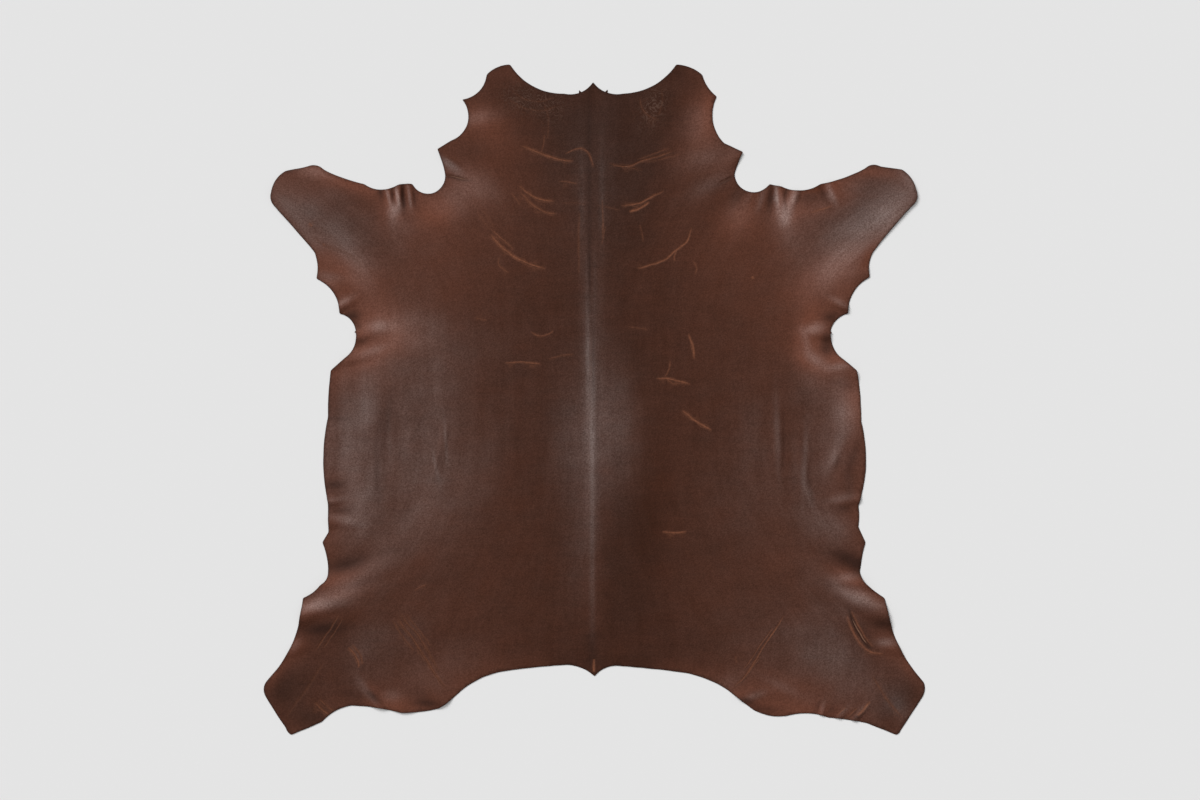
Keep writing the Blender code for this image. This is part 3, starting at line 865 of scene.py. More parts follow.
def arc_points(start: Array, end: Array, bow: float, step: float) -> Array:
    """Points on an arc from start up to, but not at, end.

    The arc turns through twice half_turn, which is twice the angle whose tangent is twice the bow
    over the chord. A point at share s lies half the chord times sin(half_turn s) over
    sin(half_turn) along the chord, and rises by the matching difference of cosines.

    Args:
        start: First point.
        end: Last point.
        bow: Rise over the middle of the chord, to the left of the way along it.
        step: Distance between the points.

    Returns:
        The points, one a row.
    """
    chord = math.dist(start, end)
    along = (end - start) / chord
    outward = np.array((-along[1], along[0]))
    half_turn = 2 * math.atan2(2 * bow, chord)
    shares = np.linspace(-1, 1, max(1, round(chord / step)), endpoint=False)
    reach = chord / 2 * shares
    rise = np.zeros(len(shares))
    if bow:
        radius = chord / 2 / math.sin(half_turn)
        reach = radius * np.sin(half_turn * shares)
        rise = radius * (np.cos(half_turn * shares) - math.cos(half_turn))
    return (start + end) / 2 + reach[:, None] * along + rise[:, None] * outward


def even_path(points: Array, step: float) -> Array:
    """Points an even step apart on the straight runs between points.

    Args:
        points: The corners, one a row.
        step: Distance between the new points, nearly.

    Returns:
        The new points, with the first and last corner kept.
    """
    done = np.concatenate(([0.0], np.linalg.norm(np.diff(points, axis=0), axis=1).cumsum()))
    places = np.linspace(0, done[-1], max(2, round(done[-1] / step) + 1))
    return np.column_stack([np.interp(places, done, points[:, axis]) for axis in (0, 1)])


def nearest_on_path(points: Array, path: Array) -> tuple[Array, Array]:
    """Distance of each point to a path, and where along it the nearest place is.

    Args:
        points: The points, one a row.
        path: The path's corners, one a row.

    Returns:
        The distances, and the shares of the path's length from 0 to 1.
    """
    runs = np.diff(path, axis=0)
    lengths = np.linalg.norm(runs, axis=1)
    offsets = points[:, None] - path[:-1]
    shares = np.clip((offsets * runs).sum(axis=2) / lengths**2, 0, 1)
    gaps = np.linalg.norm(offsets - shares[:, :, None] * runs, axis=2)
    best = gaps.argmin(axis=1)
    rows = np.arange(len(points))
    done = np.concatenate(([0.0], lengths.cumsum()))
    return gaps[rows, best], (done[best] + shares[rows, best] * lengths[best]) / done[-1]


def band_points(path: Array, breadth: float, step: float) -> Array:
    """Rows of points along a path and to both sides of it.

    Args:
        path: Points an even step apart, one a row.
        breadth: Half the width of the band.
        step: Distance between the points across the band, nearly.

    Returns:
        The points, one a row, from the middle row outwards.
    """
    along = np.gradient(path, axis=0)
    along /= np.linalg.norm(along, axis=1)[:, None]
    outward = np.column_stack((-along[:, 1], along[:, 0]))
    across = np.linspace(-breadth, breadth, 2 * math.ceil(breadth / step) + 1)
    across = across[np.argsort(np.abs(across), kind="stable")]
    return (path + across[:, None, None] * outward).reshape(-1, 2)


def lattice_points(low: Array, high: Array, step: float) -> Array:
    """Corners of even triangles, with every other row set over by half a step.

    Args:
        low: Lowest corner of the box to fill.
        high: Highest corner of it.
        step: Side of the triangles.

    Returns:
        The points, one a row.
    """
    rows = np.arange(low[1], high[1], step * math.sqrt(3) / 2)
    points = np.stack(np.meshgrid(np.arange(low[0], high[0], step), rows), axis=2)
    points[1::2, :, 0] += step / 2
    return points.reshape(-1, 2)


def cell_numbers(squares: Array) -> Array:
    """One whole number for each square: a million times its column, plus its row."""
    return squares[:, 0].astype(np.int64) * 1_000_000 + squares[:, 1].astype(np.int64)


def clear_of(points: Array, others: Array, gap: float) -> Array:
    """The points that have none of the others in their own square of side gap or next to it.

    Args:
        points: The points to thin, one a row.
        others: The points to stay clear of.
        gap: Side of the squares.

    Returns:
        The points that are left.
    """
    around = np.stack(np.meshgrid((-1, 0, 1), (-1, 0, 1)), axis=2).reshape(-1, 2)
    taken = (np.floor(others / gap).astype(int)[:, None] + around).reshape(-1, 2)
    return points[~np.isin(cell_numbers(np.floor(points / gap)), cell_numbers(taken))]


def one_a_square(points: Array, side: float) -> Array:
    """The first of the points in each square of a given side."""
    firsts = np.unique(cell_numbers(np.floor(points / side)), return_index=True)[1]
    return points[np.sort(firsts)]


def inside(points: Array, ring: Array) -> Array:
    """Whether a level line from each point crosses the ring an odd number of times to its right.

    Args:
        points: The points, one a row.
        ring: The closed outline's points in order.

    Returns:
        One truth value for each point.
    """
    ends = np.roll(ring, -1, axis=0)
    rises = ends[:, 1] - ring[:, 1]
    slope = (ends[:, 0] - ring[:, 0]) / np.where(rises == 0, 1, rises)
    found = []
    for part in np.array_split(points, 1 + len(points) // BATCH):
        spans = (ring[:, 1] > part[:, 1:]) != (ends[:, 1] > part[:, 1:])
        crossings = ring[:, 0] + (part[:, 1:] - ring[:, 1]) * slope
        found.append((spans & (part[:, :1] < crossings)).sum(axis=1) % 2 == 1)
    return np.concatenate(found)


def ring_distance(points: Array, ring: Array) -> Array:
    """Distance from each point to the nearest point of the ring.

    Args:
        points: The points, one a row.
        ring: The closed outline's points in order.

    Returns:
        The distances.
    """
    parts = np.array_split(points, 1 + len(points) // BATCH)
    return np.concatenate(
        [np.sqrt(((part[:, None] - ring) ** 2).sum(axis=2).min(axis=1)) for part in parts]
    )


def patch_field(points: Array, table: tuple[Patch, ...]) -> Array:
    """The sum of soft oval patches.

    Each adds its strength times e to the minus of (along over reach) squared plus (across over
    breadth) squared.

    Args:
        points: Places in the tables' millimetres, one a row.
        table: The patches.

    Returns:
        One value for each point.
    """
    total = np.zeros(len(points))
    for patch in table:
        turn = math.radians(patch.lean)
        offsets = points - (patch.x, patch.up)
        along = offsets @ (math.cos(turn), math.sin(turn)) / patch.reach
        across = offsets @ (-math.sin(turn), math.cos(turn)) / patch.breadth
        total += patch.strength * np.exp(-(along**2) - across**2)
    return total


def waves(points: Array, length: float, seed: int, count: int = 9) -> Array:
    """A gentle unevenness from -1 to 1, nearly: twice the mean of sine waves.

    Args:
        points: Places, one a row.
        length: Typical length of a wave.
        seed: Seed of the waves' directions, lengths and starts.
        count: Number of waves.

    Returns:
        One value for each point.
    """
    chance = np.random.default_rng(seed)
    turns = chance.uniform(0, math.tau, count)
    pitches = math.tau / (length * chance.uniform(*WAVE_LENGTHS, count))
    ways = np.column_stack((np.cos(turns), np.sin(turns))) * pitches[:, None]
    return np.sin(points @ ways.T + chance.uniform(0, math.tau, count)).mean(axis=1) * 2


class LeatherNodes(NamedTuple):
    """What the leather is mixed from: its node tree, and attribute and pattern sockets by name."""

    tree: bpy.types.NodeTree
    marks: dict[str, Socket]
    patterns: dict[str, Socket]


@dataclass(frozen=True)
class AnilineLeather:
    """Full-grain aniline leather, drum dyed and waxed, on the grain side.

    The dye is clear, so the hide's own mottling, growth wrinkles and scars show through it. It is
    redder where the leather was stretched thin, and the wax is smoother where it was burnished.
    A grey painted sheen with painted highlights on the folds is laid over the dye, and painted
    shade in the hollows, the grooves and along the cut edge.
    """

    deep: str = "361808"
    warm: str = "653725"
    # The grey of the painted sheen and highlights, and the colour of the painted shade.
    bloom: str = "474544"
    shadow: str = "22120C"
    scar: str = "82513A"
    looped: str = "6B5348"
    ior: float = 1.45
    specular: float = 0.12
    # Roughness with no wax and with the most, before the uneven part, which adds 0.13 on average.
    dry_roughness: float = 0.59
    waxed_roughness: float = 0.33
    waxed_bloom: float = 0.8  # the wax and painted sheen mark from which the wax is at its smoothest
    noises: tuple[Noise, ...] = (
        Noise("mottle", Lay.EVEN, 9.0, 5.0, 0.62, 0.0),  # clouds of dye about 110 mm across
        Noise("hair", Lay.HAIR, 110.0, 3.0, 0.6, 0.0),  # hair lines about 9 mm apart
        Noise("strands", Lay.HAIR, 30.0, 3.0, 0.55, 0.4),  # stretch bands about 33 mm apart
        Noise("rows", Lay.BACK, 55.0, 2.0, 0.6, 0.0),  # growth rows about 18 mm apart
        # Pores are about 0.3 mm apart, too fine to show, so they are drawn 4.5 mm apart.
        Noise("speckle", Lay.EVEN, 220.0, 2.0, 0.7, 0.0),
        Noise("hollows", Lay.EVEN, 16.0, 3.0, 0.5, 0.5),  # what the loops run round, 60 mm across
    )
    pebbles_per_metre: float = 220.0  # grain pebbles, drawn as coarse as the pores
    pebble_softness: float = 0.5
    back_draw: tuple[float, float, float] = (0.12, 1.0, 1.0)  # draws the rows out across the back
    loops: float = 16.0  # loops over the whole rise of the hollows, about 5 mm apart
    dye_weights: Weights = (("mottle", 0.3), ("rows", 0.16), ("strands", 0.12), ("hair", 0.12))
    dye_start: float = -0.34
    # The painted sheen, broken up by the speckle, the hair and the strands.
    veil_weights: Weights = (("speckle", 1.7), ("hair", 0.4), ("strands", 0.8))
    veil_start: float = -0.45
    pore_weights: Weights = (("speckle", 1.1),)
    pore_start: float = 0.46
    gloss_weights: Weights = (("mottle", 0.16), ("speckle", 0.1))
    hollow_cover: float = 0.72  # how much of the colour the darkest painted shade hides
    loop_line: tuple[float, float] = (0.24, 0.5)  # half width, in loops, and cover in its middle
    loop_groove: tuple[float, float] = (0.2, 1.0)
    scar_break: tuple[float, float] = (0.36, 0.6)  # the speckle between which a scar is broken up
    scar_least: float = 0.6
    pebble_bump: tuple[float, float] = (0.6, 0.8)  # strength, and height in millimetres
    hair_bump: tuple[float, float] = (0.5, 0.7)
    loop_bump: tuple[float, float] = (0.6, 1.0)

    def make(self) -> bpy.types.Material:
        """Build the material.

        Returns:
            The material, with its colour, roughness and bump from nodes.
        """
        material, tree, shader = start_material("full-grain aniline cowhide, drum dyed and waxed")
        shader.inputs["IOR"].default_value = self.ior
        shader.inputs["Specular IOR Level"].default_value = self.specular
        marks = {
            name: add_node(tree, "ShaderNodeAttribute", {"attribute_name": name}).outputs["Fac"]
            for name in ("bloom", "warmth", "shade", "scar", "loops", "rim")
        }
        nodes = LeatherNodes(tree, marks, self.patterns(tree))
        tree.links.new(self.marked(nodes, self.dyed(nodes)), shader.inputs["Base Color"])
        tree.links.new(self.gloss(nodes), shader.inputs["Roughness"])
        tree.links.new(self.relief(nodes), shader.inputs["Normal"])
        return material

    def patterns(self, tree: bpy.types.NodeTree) -> dict[str, Socket]:
        """The leather's patterns: the noises, the grain's pebbles, and the loops.

        The loops are level lines of the hollows, folded so that each line lies at 0 and the middle
        between two lines at 0.5.

        Args:
            tree: The material's node tree.

        Returns:
            Sockets by name.
        """
        place = add_node(tree, "ShaderNodeTexCoord", {}).outputs["Object"]
        hair_lay = add_node(tree, "ShaderNodeAttribute", {"attribute_name": "lay"})
        drawn = add_node(
            tree, "ShaderNodeVectorMath", {"operation": "MULTIPLY", 1: self.back_draw}, i0=place
        )
        lays = {
            Lay.EVEN: place,
            Lay.HAIR: hair_lay.outputs["Vector"],
            Lay.BACK: drawn.outputs[0],
        }
        found = {}
        for noise in self.noises:
            settings = {
                "Scale": noise.per_metre,
                "Detail": noise.detail,
                "Roughness": noise.roughness,
                "Distortion": noise.distortion,
            }
            node = add_node(tree, "ShaderNodeTexNoise", settings, Vector=lays[noise.lay])
            found[noise.name] = node.outputs["Fac"]
        pebbles = {
            "feature": "SMOOTH_F1",
            "Scale": self.pebbles_per_metre,
            "Smoothness": self.pebble_softness,
        }
        grain = add_node(tree, "ShaderNodeTexVoronoi", pebbles, Vector=place)
        found["grain"] = grain.outputs["Distance"]
        steps = add_node(
            tree, "ShaderNodeMath", {"operation": "MULTIPLY", 1: self.loops}, i0=found["hollows"]
        )
        folded = add_node(
            tree, "ShaderNodeMath", {"operation": "PINGPONG", 1: 0.5}, i0=steps.outputs[0]
        )
        found["loops"] = folded.outputs[0]
        return found

    def dyed(self, nodes: LeatherNodes) -> Socket:
        """The dyed colour: from deep to warm with the warmth, then a grey painted sheen laid over
        it.

        Args:
            nodes: What the leather is mixed from.

        Returns:
            The colour socket.
        """
        tree, marks, patterns = nodes
        uneven = weighted_noise(tree, patterns, self.dye_weights, self.dye_start)
        warmth = add_node(
            tree, "ShaderNodeMath", {"operation": "ADD", "use_clamp": True},
            i0=marks["warmth"], i1=uneven,
        )
        dye = add_node(
            tree, "ShaderNodeMix",
            {"data_type": "RGBA", 6: linear_colour(self.deep), 7: linear_colour(self.warm)},
            i0=warmth.outputs[0],
        )
        broken = weighted_noise(tree, patterns, self.veil_weights, self.veil_start)
        veil = add_node(
            tree, "ShaderNodeMath", {"operation": "MULTIPLY"}, i0=marks["bloom"], i1=broken
        )
        # The grey painted sheen, added to the dye.
        waxed = add_node(
            tree, "ShaderNodeMix",
            {"data_type": "RGBA", "blend_type": "ADD", "clamp_factor": False,
             7: linear_colour(self.bloom)},
            i0=veil.outputs[0], i6=dye.outputs[2],
        )
        pores = weighted_noise(tree, patterns, self.pore_weights, self.pore_start)
        return add_node(
            tree, "ShaderNodeHueSaturation", {}, Color=waxed.outputs[2], Value=pores
        ).outputs[0]

    def marked(self, nodes: LeatherNodes, colour: Socket) -> Socket:
        """Painted shade in the hollows and grooves, loops and scars lightened, and painted shade
        along the rim of the cut edge.

        Args:
            nodes: What the leather is mixed from.
            colour: The dyed colour.

        Returns:
            The colour socket.
        """
        tree, marks, patterns = nodes
        shade = add_node(
            tree, "ShaderNodeMath", {"operation": "MULTIPLY", 1: self.hollow_cover},
            i0=marks["shade"],
        ).outputs[0]
        width, cover = self.loop_line
        line = add_node(
            tree, "ShaderNodeMapRange", {"From Max": width, "To Min": cover, "To Max": 0.0},
            Value=patterns["loops"],
        )
        start, end = self.scar_break
        broken = add_node(
            tree, "ShaderNodeMapRange",
            {"From Min": start, "From Max": end, "To Min": self.scar_least},
            Value=patterns["speckle"],
        )
        loops, scars = (
            add_node(
                tree, "ShaderNodeMath", {"operation": "MULTIPLY"},
                i0=pattern.outputs[0], i1=marks[name],
            ).outputs[0]
            for pattern, name in ((line, "loops"), (broken, "scar"))
        )
        for share, paint in (
            (shade, self.shadow),
            (loops, self.looped),
            (scars, self.scar),
            (marks["rim"], self.shadow),
        ):
            colour = add_node(
                tree, "ShaderNodeMix", {"data_type": "RGBA", 7: linear_colour(paint)},
                i0=share, i6=colour,
            ).outputs[2]
        return colour

    def gloss(self, nodes: LeatherNodes) -> Socket:
        """Roughness, from dry to waxed with the wax and painted sheen, and uneven.

        Args:
            nodes: What the leather is mixed from.

        Returns:
            The roughness socket.
        """
        tree, marks, patterns = nodes
        waxed = add_node(
            tree, "ShaderNodeMapRange",
            {"From Max": self.waxed_bloom, "To Min": self.dry_roughness,
             "To Max": self.waxed_roughness},
            Value=marks["bloom"],
        )
        return weighted_noise(tree, patterns, self.gloss_weights, waxed.outputs[0])

    def relief(self, nodes: LeatherNodes) -> Socket:
        """Grain pebbles, hair lines and loops as bump, each on the one before.

        Args:
            nodes: What the leather is mixed from.

        Returns:
            The normal socket.
        """
        tree, marks, patterns = nodes
        width, height = self.loop_groove
        groove = add_node(
            tree, "ShaderNodeMapRange", {"From Max": width, "To Min": height, "To Max": 0.0},
            Value=patterns["loops"],
        )
        grooves = add_node(
            tree, "ShaderNodeMath", {"operation": "MULTIPLY"},
            i0=groove.outputs[0], i1=marks["loops"],
        )
        before = {}
        for heights, (strength, rise) in (
            (patterns["grain"], self.pebble_bump),
            (patterns["hair"], self.hair_bump),
            (grooves.outputs[0], self.loop_bump),
        ):
            settings = {"Strength": strength, "Distance": rise * MM}
            bump = add_node(tree, "ShaderNodeBump", settings, Height=heights, **before)
            before = {"Normal": bump.outputs[0]}
        return before["Normal"]


@dataclass(frozen=True)
class FleshSuede:
    """The flesh side, split and shaved: a short matt nap, lighter than the grain."""

    nap: str = "7A5742"
    shaded: str = "5C3F2F"
    roughness: float = 0.95
    sheen: float = 0.25
    sheen_roughness: float = 0.5
    nap_per_metre: float = 260.0  # tufts about 4 mm across, drawn coarser than the 1 mm nap
    nap_detail: float = 3.0
    nap_roughness: float = 0.7
    strokes_per_metre: float = 14.0  # shaving strokes about 70 mm wide
    stroke_detail: float = 4.0
    spread: tuple[float, float] = (0.12, 0.4)  # tufts times strokes, where shaded and where light
    bump: tuple[float, float] = (0.5, 1.0)  # strength, and height in millimetres

    def make(self) -> bpy.types.Material:
        """Build the material.

        Returns:
            The material.
        """
        material, tree, shader = start_material("cowhide flesh side, shaved to a suede nap")
        shader.inputs["Roughness"].default_value = self.roughness
        shader.inputs["Sheen Weight"].default_value = self.sheen
        shader.inputs["Sheen Roughness"].default_value = self.sheen_roughness
        place = add_node(tree, "ShaderNodeTexCoord", {}).outputs["Object"]
        tufts = add_node(
            tree, "ShaderNodeTexNoise",
            {"Scale": self.nap_per_metre, "Detail": self.nap_detail,
             "Roughness": self.nap_roughness},
            Vector=place,
        )
        strokes = add_node(
            tree, "ShaderNodeTexNoise",
            {"Scale": self.strokes_per_metre, "Detail": self.stroke_detail}, Vector=place,
        )
        blend = add_node(
            tree, "ShaderNodeMath", {"operation": "MULTIPLY"},
            i0=tufts.outputs["Fac"], i1=strokes.outputs["Fac"],
        )
        low, high = self.spread
        spread = add_node(
            tree, "ShaderNodeMapRange", {"From Min": low, "From Max": high}, Value=blend.outputs[0]
        )
        colour = add_node(
            tree, "ShaderNodeMix",
            {"data_type": "RGBA", 6: linear_colour(self.shaded), 7: linear_colour(self.nap)},
            i0=spread.outputs[0],
        )
        strength, rise = self.bump
        bump = add_node(
            tree, "ShaderNodeBump", {"Strength": strength, "Distance": rise * MM},
            Height=tufts.outputs["Fac"],
        )
        tree.links.new(colour.outputs[2], shader.inputs["Base Color"])
        tree.links.new(bump.outputs[0], shader.inputs["Normal"])
        return material


@dataclass(frozen=True)
class CutFibre:
    """The knife-cut edge: raw fibre, dyed through and dark, with its layers along the sheet."""

    fibre: str = "2E1A13"
    layer: str = "1C100B"
    roughness: float = 0.8
    fibre_per_metre: float = 500.0
    fibre_detail: float = 3.0
    # Draws the fibre bundles out to 4 mm along the sheet and half a millimetre through it.
    layering: tuple[float, float, float] = (0.5, 0.5, 4.0)
    bump: tuple[float, float] = (0.5, 0.4)  # strength, and height in millimetres

    def make(self) -> bpy.types.Material:
        """Build the material.

        Returns:
            The material.
        """
        material, tree, shader = start_material("cowhide cut edge, raw dyed fibre")
        shader.inputs["Roughness"].default_value = self.roughness
        place = add_node(tree, "ShaderNodeTexCoord", {}).outputs["Object"]
        layers = add_node(tree, "ShaderNodeMapping", {"Scale": self.layering}, Vector=place)
        bundles = add_node(
            tree, "ShaderNodeTexNoise",
            {"Scale": self.fibre_per_metre, "Detail": self.fibre_detail},
            Vector=layers.outputs[0],
        )
        colour = add_node(
            tree, "ShaderNodeMix",
            {"data_type": "RGBA", 6: linear_colour(self.layer), 7: linear_colour(self.fibre)},
            i0=bundles.outputs["Fac"],
        )
        strength, rise = self.bump
        bump = add_node(
            tree, "ShaderNodeBump", {"Strength": strength, "Distance": rise * MM},
            Height=bundles.outputs["Fac"],
        )
        tree.links.new(colour.outputs[2], shader.inputs["Base Color"])
        tree.links.new(bump.outputs[0], shader.inputs["Normal"])
        return material


@dataclass(frozen=True)
class KnifeEdge:
    """The cut edge of the hide, worked out from the landmarks. Sizes are in millimetres."""

    step: float = 4.5
    rounding_passes: int = 1
    wobble: float = 0.5
    wobble_length: float = 60.0

    def side(self, side: Side) -> Array:
        """The edge on one side, from the neck point to the tail tip.

        Args:
            side: Which side.

        Returns:
            The points, one a row.
        """
        columns = slice(1, 4) if side is Side.LEFT else slice(4, 7)
        rows = [landmark[columns] for landmark in LANDMARKS]
        arcs = [
            arc_points(np.array(before[:2], float), np.array(after[:2], float), after[2], self.step)
            for before, after in zip(rows, rows[1:])
        ]
        return np.concatenate([*arcs, [rows[-1][:2]]]) * (side.value, 1)

    def ring(self) -> Array:
        """The whole edge, counter-clockwise seen from above.

        Each pass of rounding moves a point half way to the middle of its neighbours. The knife's
        wobble then moves it along the outward normal, and a tag pulls one point out.

        Returns:
            The closed ring of points, one a row.
        """
        ring = np.concatenate([self.side(Side.LEFT), self.side(Side.RIGHT)[-2:0:-1]])
        ring = even_path(np.concatenate([ring, ring[:1]]), self.step)[:-1]
        for _ in range(self.rounding_passes):
            ring = ring / 2 + (np.roll(ring, 1, axis=0) + np.roll(ring, -1, axis=0)) / 4
        outward = self.outward(ring)
        ring = ring + outward * (self.wobble * waves(ring, self.wobble_length, seed=5))[:, None]
        for tag in TAGS:
            nearest = np.linalg.norm(ring - (tag.x, tag.up), axis=1).argmin()
            ring[nearest] += outward[nearest] * tag.length
        return ring

    def outward(self, ring: Array) -> Array:
        """Unit normals of the ring, pointing away from the hide.

        Args:
            ring: The closed ring of points.

        Returns:
            One normal a row.
        """
        along = np.roll(ring, -1, axis=0) - np.roll(ring, 1, axis=0)
        along /= np.linalg.norm(along, axis=1)[:, None]
        return np.column_stack((along[:, 1], -along[:, 0]))


@dataclass(frozen=True)
class SoftFolds:
    """The folds that lift the hide off the floor. Sizes are in millimetres."""

    step: float = 7.0
    steps_a_foot: float = 4.0  # a narrow fold has at least this many steps over its half width
    margin: float = 1.1  # how far its rows of points go out, times its half width
    gap: float = 0.5  # clear gap between the rows of two folds, times their step
    closest: float = 1.5  # side of the squares that keep one point each

    def run(self, fold: Fold) -> Array:
        """A fold's two ends as rows of x and up."""
        return np.array(((fold.out, fold.up), (fold.to_out, fold.to_up))) * (fold.side.value, 1)

    def relief(self, points: Array) -> Array:
        """Height of the flesh side above the floor.

        The sum, over the folds, of height times a hill along the fold times a hill across it.

        Args:
            points: Places, one a row.

        Returns:
            One height for each point.
        """
        height = np.zeros(len(points))
        for fold in FOLDS:
            start, end = self.run(fold)
            length = math.dist(start, end)
            along = (end - start) / length
            reach = (points - start) @ along / length
            across = (points - start) @ np.array((-along[1], along[0])) / fold.foot
            fade = hill(np.clip(reach, 0, None) if fold.rise is Rise.AT_EDGE else 2 * reach - 1)
            height += fold.height * fade * hill(across)
        return height

    def rows(self, coarseness: float) -> Array:
        """Rows of points along the folds, from the narrowest fold to the widest.

        Args:
            coarseness: Number by which the steps are multiplied.

        Returns:
            The points, one a row.
        """
        chosen = np.empty((0, 2))
        for fold in sorted(FOLDS, key=lambda fold: fold.foot):
            step = min(self.step, fold.foot / self.steps_a_foot) * coarseness
            rows = band_points(even_path(self.run(fold), step), fold.foot * self.margin, step)
            chosen = np.concatenate([chosen, clear_of(rows, chosen, step * self.gap)])
        return one_a_square(chosen, self.closest)


@dataclass(frozen=True)
class FineLines:
    """The wrinkles, creases and scars that are drawn one by one.

    Lengths are in millimetres, and sizes across a line in its own half widths.
    """

    step: float = 3.2
    step_across: float = 0.75  # times the step
    spacing: float = 0.6  # side of the squares that keep one point each, times the step
    margin: float = 2.4  # how far out a line has rows of points
    reach: float = 4.0  # how far out it marks the grain
    rounding_passes: int = 26
    wander_length: float = 40.0
    end_power: int = 6  # the higher, the later a line fades towards its ends
    core: float = 1.35  # how many times narrower than a line its pale core is
    strand_core: float = 1.9
    wear: float = 0.95  # how much of a line's paleness shows, on the whole
    wear_swing: float = 0.2
    wear_length: float = 60.0
    groove_shade: float = 0.25  # how much painted shade a groove gets where it isn't pale
    pale_groove_shade: float = 1.5  # what its paleness adds to that
    # The strands beside a line: how many half widths off, and how pale next to it.
    strands: tuple[tuple[float, float], ...] = ((-1.9, 0.4), (1.6, 0.3))
    strand_way: tuple[float, float] = (0.5, 0.9)  # the way that a strand stands off
    fray: float = 0.8  # how much of that offset it keeps, on the whole
    fray_swing: float = 0.5

    def run(self, line: Line) -> Array:
        """A line's path, rounded at its corners and wandering a little, as a healed mark does.

        Each pass of rounding moves a point half way to the middle of its neighbours.

        Args:
            line: The line.

        Returns:
            Points an even step apart, one a row.
        """
        path = even_path(np.array(line.path, float), self.step)
        for _ in range(self.rounding_passes):
            path[1:-1] = path[1:-1] / 2 + (path[2:] + path[:-2]) / 4
        wander = [waves(path, self.wander_length, seed=seed) for seed in (11, 12)]
        return path + np.column_stack(wander)

    def strand(self, path: Array, line: Line, offset: float) -> Array:
        """A thinner line beside a line, which stands off by a seeded and uneven amount.

        Args:
            path: The line's path.
            line: The line.
            offset: Half widths by which the strand stands off, before its unevenness.

        Returns:
            The strand's path, one point a row.
        """
        seed = 20 + int(abs(10 * offset))
        shares = self.fray + self.fray_swing * waves(path, self.wander_length, seed=seed)
        return path + np.array(self.strand_way) * offset * line.width * shares[:, None]

    def rows(self) -> Array:
        """Rows of points along all the lines.

        Returns:
            The points, one a row.
        """
        step = self.step * self.step_across
        rows = [band_points(self.run(line), self.margin * line.width, step) for line in LINES]
        return one_a_square(np.concatenate(rows), self.step * self.spacing)

    def marks(self, points: Array) -> tuple[Array, Array, Array]:
        """How far the fine lines sink the grain, how pale they make it, and how much painted shade
        they get.

        Across a line, at a share s of its half width, the grain sinks by the depth times
        (1 - s squared) times e to the minus s squared, so soft lips stand beside it. Paleness falls
        by e to the minus of core times s squared. Along it both fade out towards the ends, by one
        less the end power of the share from its middle. Two fainter strands run beside it. A
        groove also gets painted shade, more where it is pale.

        Args:
            points: Places, one a row.

        Returns:
            The depths, the paleness and the painted shade, one for each point.
        """
        depth, pale, dark = np.zeros((3, len(points)))
        for line in LINES:
            path = self.run(line)
            low, high = path.min(axis=0), path.max(axis=0)
            reach = self.reach * line.width
            near = np.flatnonzero(((points > low - reach) & (points < high + reach)).all(axis=1))
            if not len(near):
                continue
            gap, along = nearest_on_path(points[near], path)
            share = gap / line.width
            fade = 1 - (2 * along - 1) ** self.end_power
            sunk = line.depth * fade * (1 - share**2) * np.exp(-(share**2))
            depth[near] += sunk
            shade = min(1, self.groove_shade + self.pale_groove_shade * line.pale)
            dark[near] += np.clip(sunk, 0, 1) * shade
            unevenness = waves(points[near], self.wear_length, seed=13)
            worn = line.pale * fade * (self.wear + self.wear_swing * unevenness)
            pale[near] = np.maximum(pale[near], worn * np.exp(-((self.core * share) ** 2)))
            for offset, strength in self.strands:
                gap = nearest_on_path(points[near], self.strand(path, line, offset))[0]
                core = np.exp(-((self.strand_core * gap / line.width) ** 2))
                pale[near] = np.maximum(pale[near], strength * worn * core)
        return depth, pale, dark


@dataclass(frozen=True)
class HairLay:
    """The way the hair lay: down the back, and fanning out towards the legs.

    Sizes are in millimetres.
    """

    rump_up: float = 1000.0
    rump_run: float = 450.0
    rump_spread: float = 0.35
    shoulder_up: float = 1420.0
    shoulder_run: float = 400.0
    shoulder_spread: float = 0.45
    furthest: float = 1.4  # where the fans stop opening, times their runs
    draw: float = 8.0  # how many times longer than wide a hair line is

    def coordinates(self, plan: Array) -> Array:
        """Coordinates that follow the hair: across its lines, and along them drawn out.

        The way across is x over 1 plus, behind and ahead of the ribs, a spread times the square of
        how far past them the place is.

        Args:
            plan: Places in the tables' millimetres, one a row.

        Returns:
            Across, along and 0 for each place, in metres.
        """
        up = plan[:, 1]
        behind = np.clip((self.rump_up - up) / self.rump_run, 0, self.furthest)
        ahead = np.clip((up - self.shoulder_up) / self.shoulder_run, 0, self.furthest)
        opening = 1 + self.rump_spread * behind**2 + self.shoulder_spread * ahead**2
        return np.column_stack((plan[:, 0] / opening, up / self.draw, np.zeros(len(plan)))) * MM


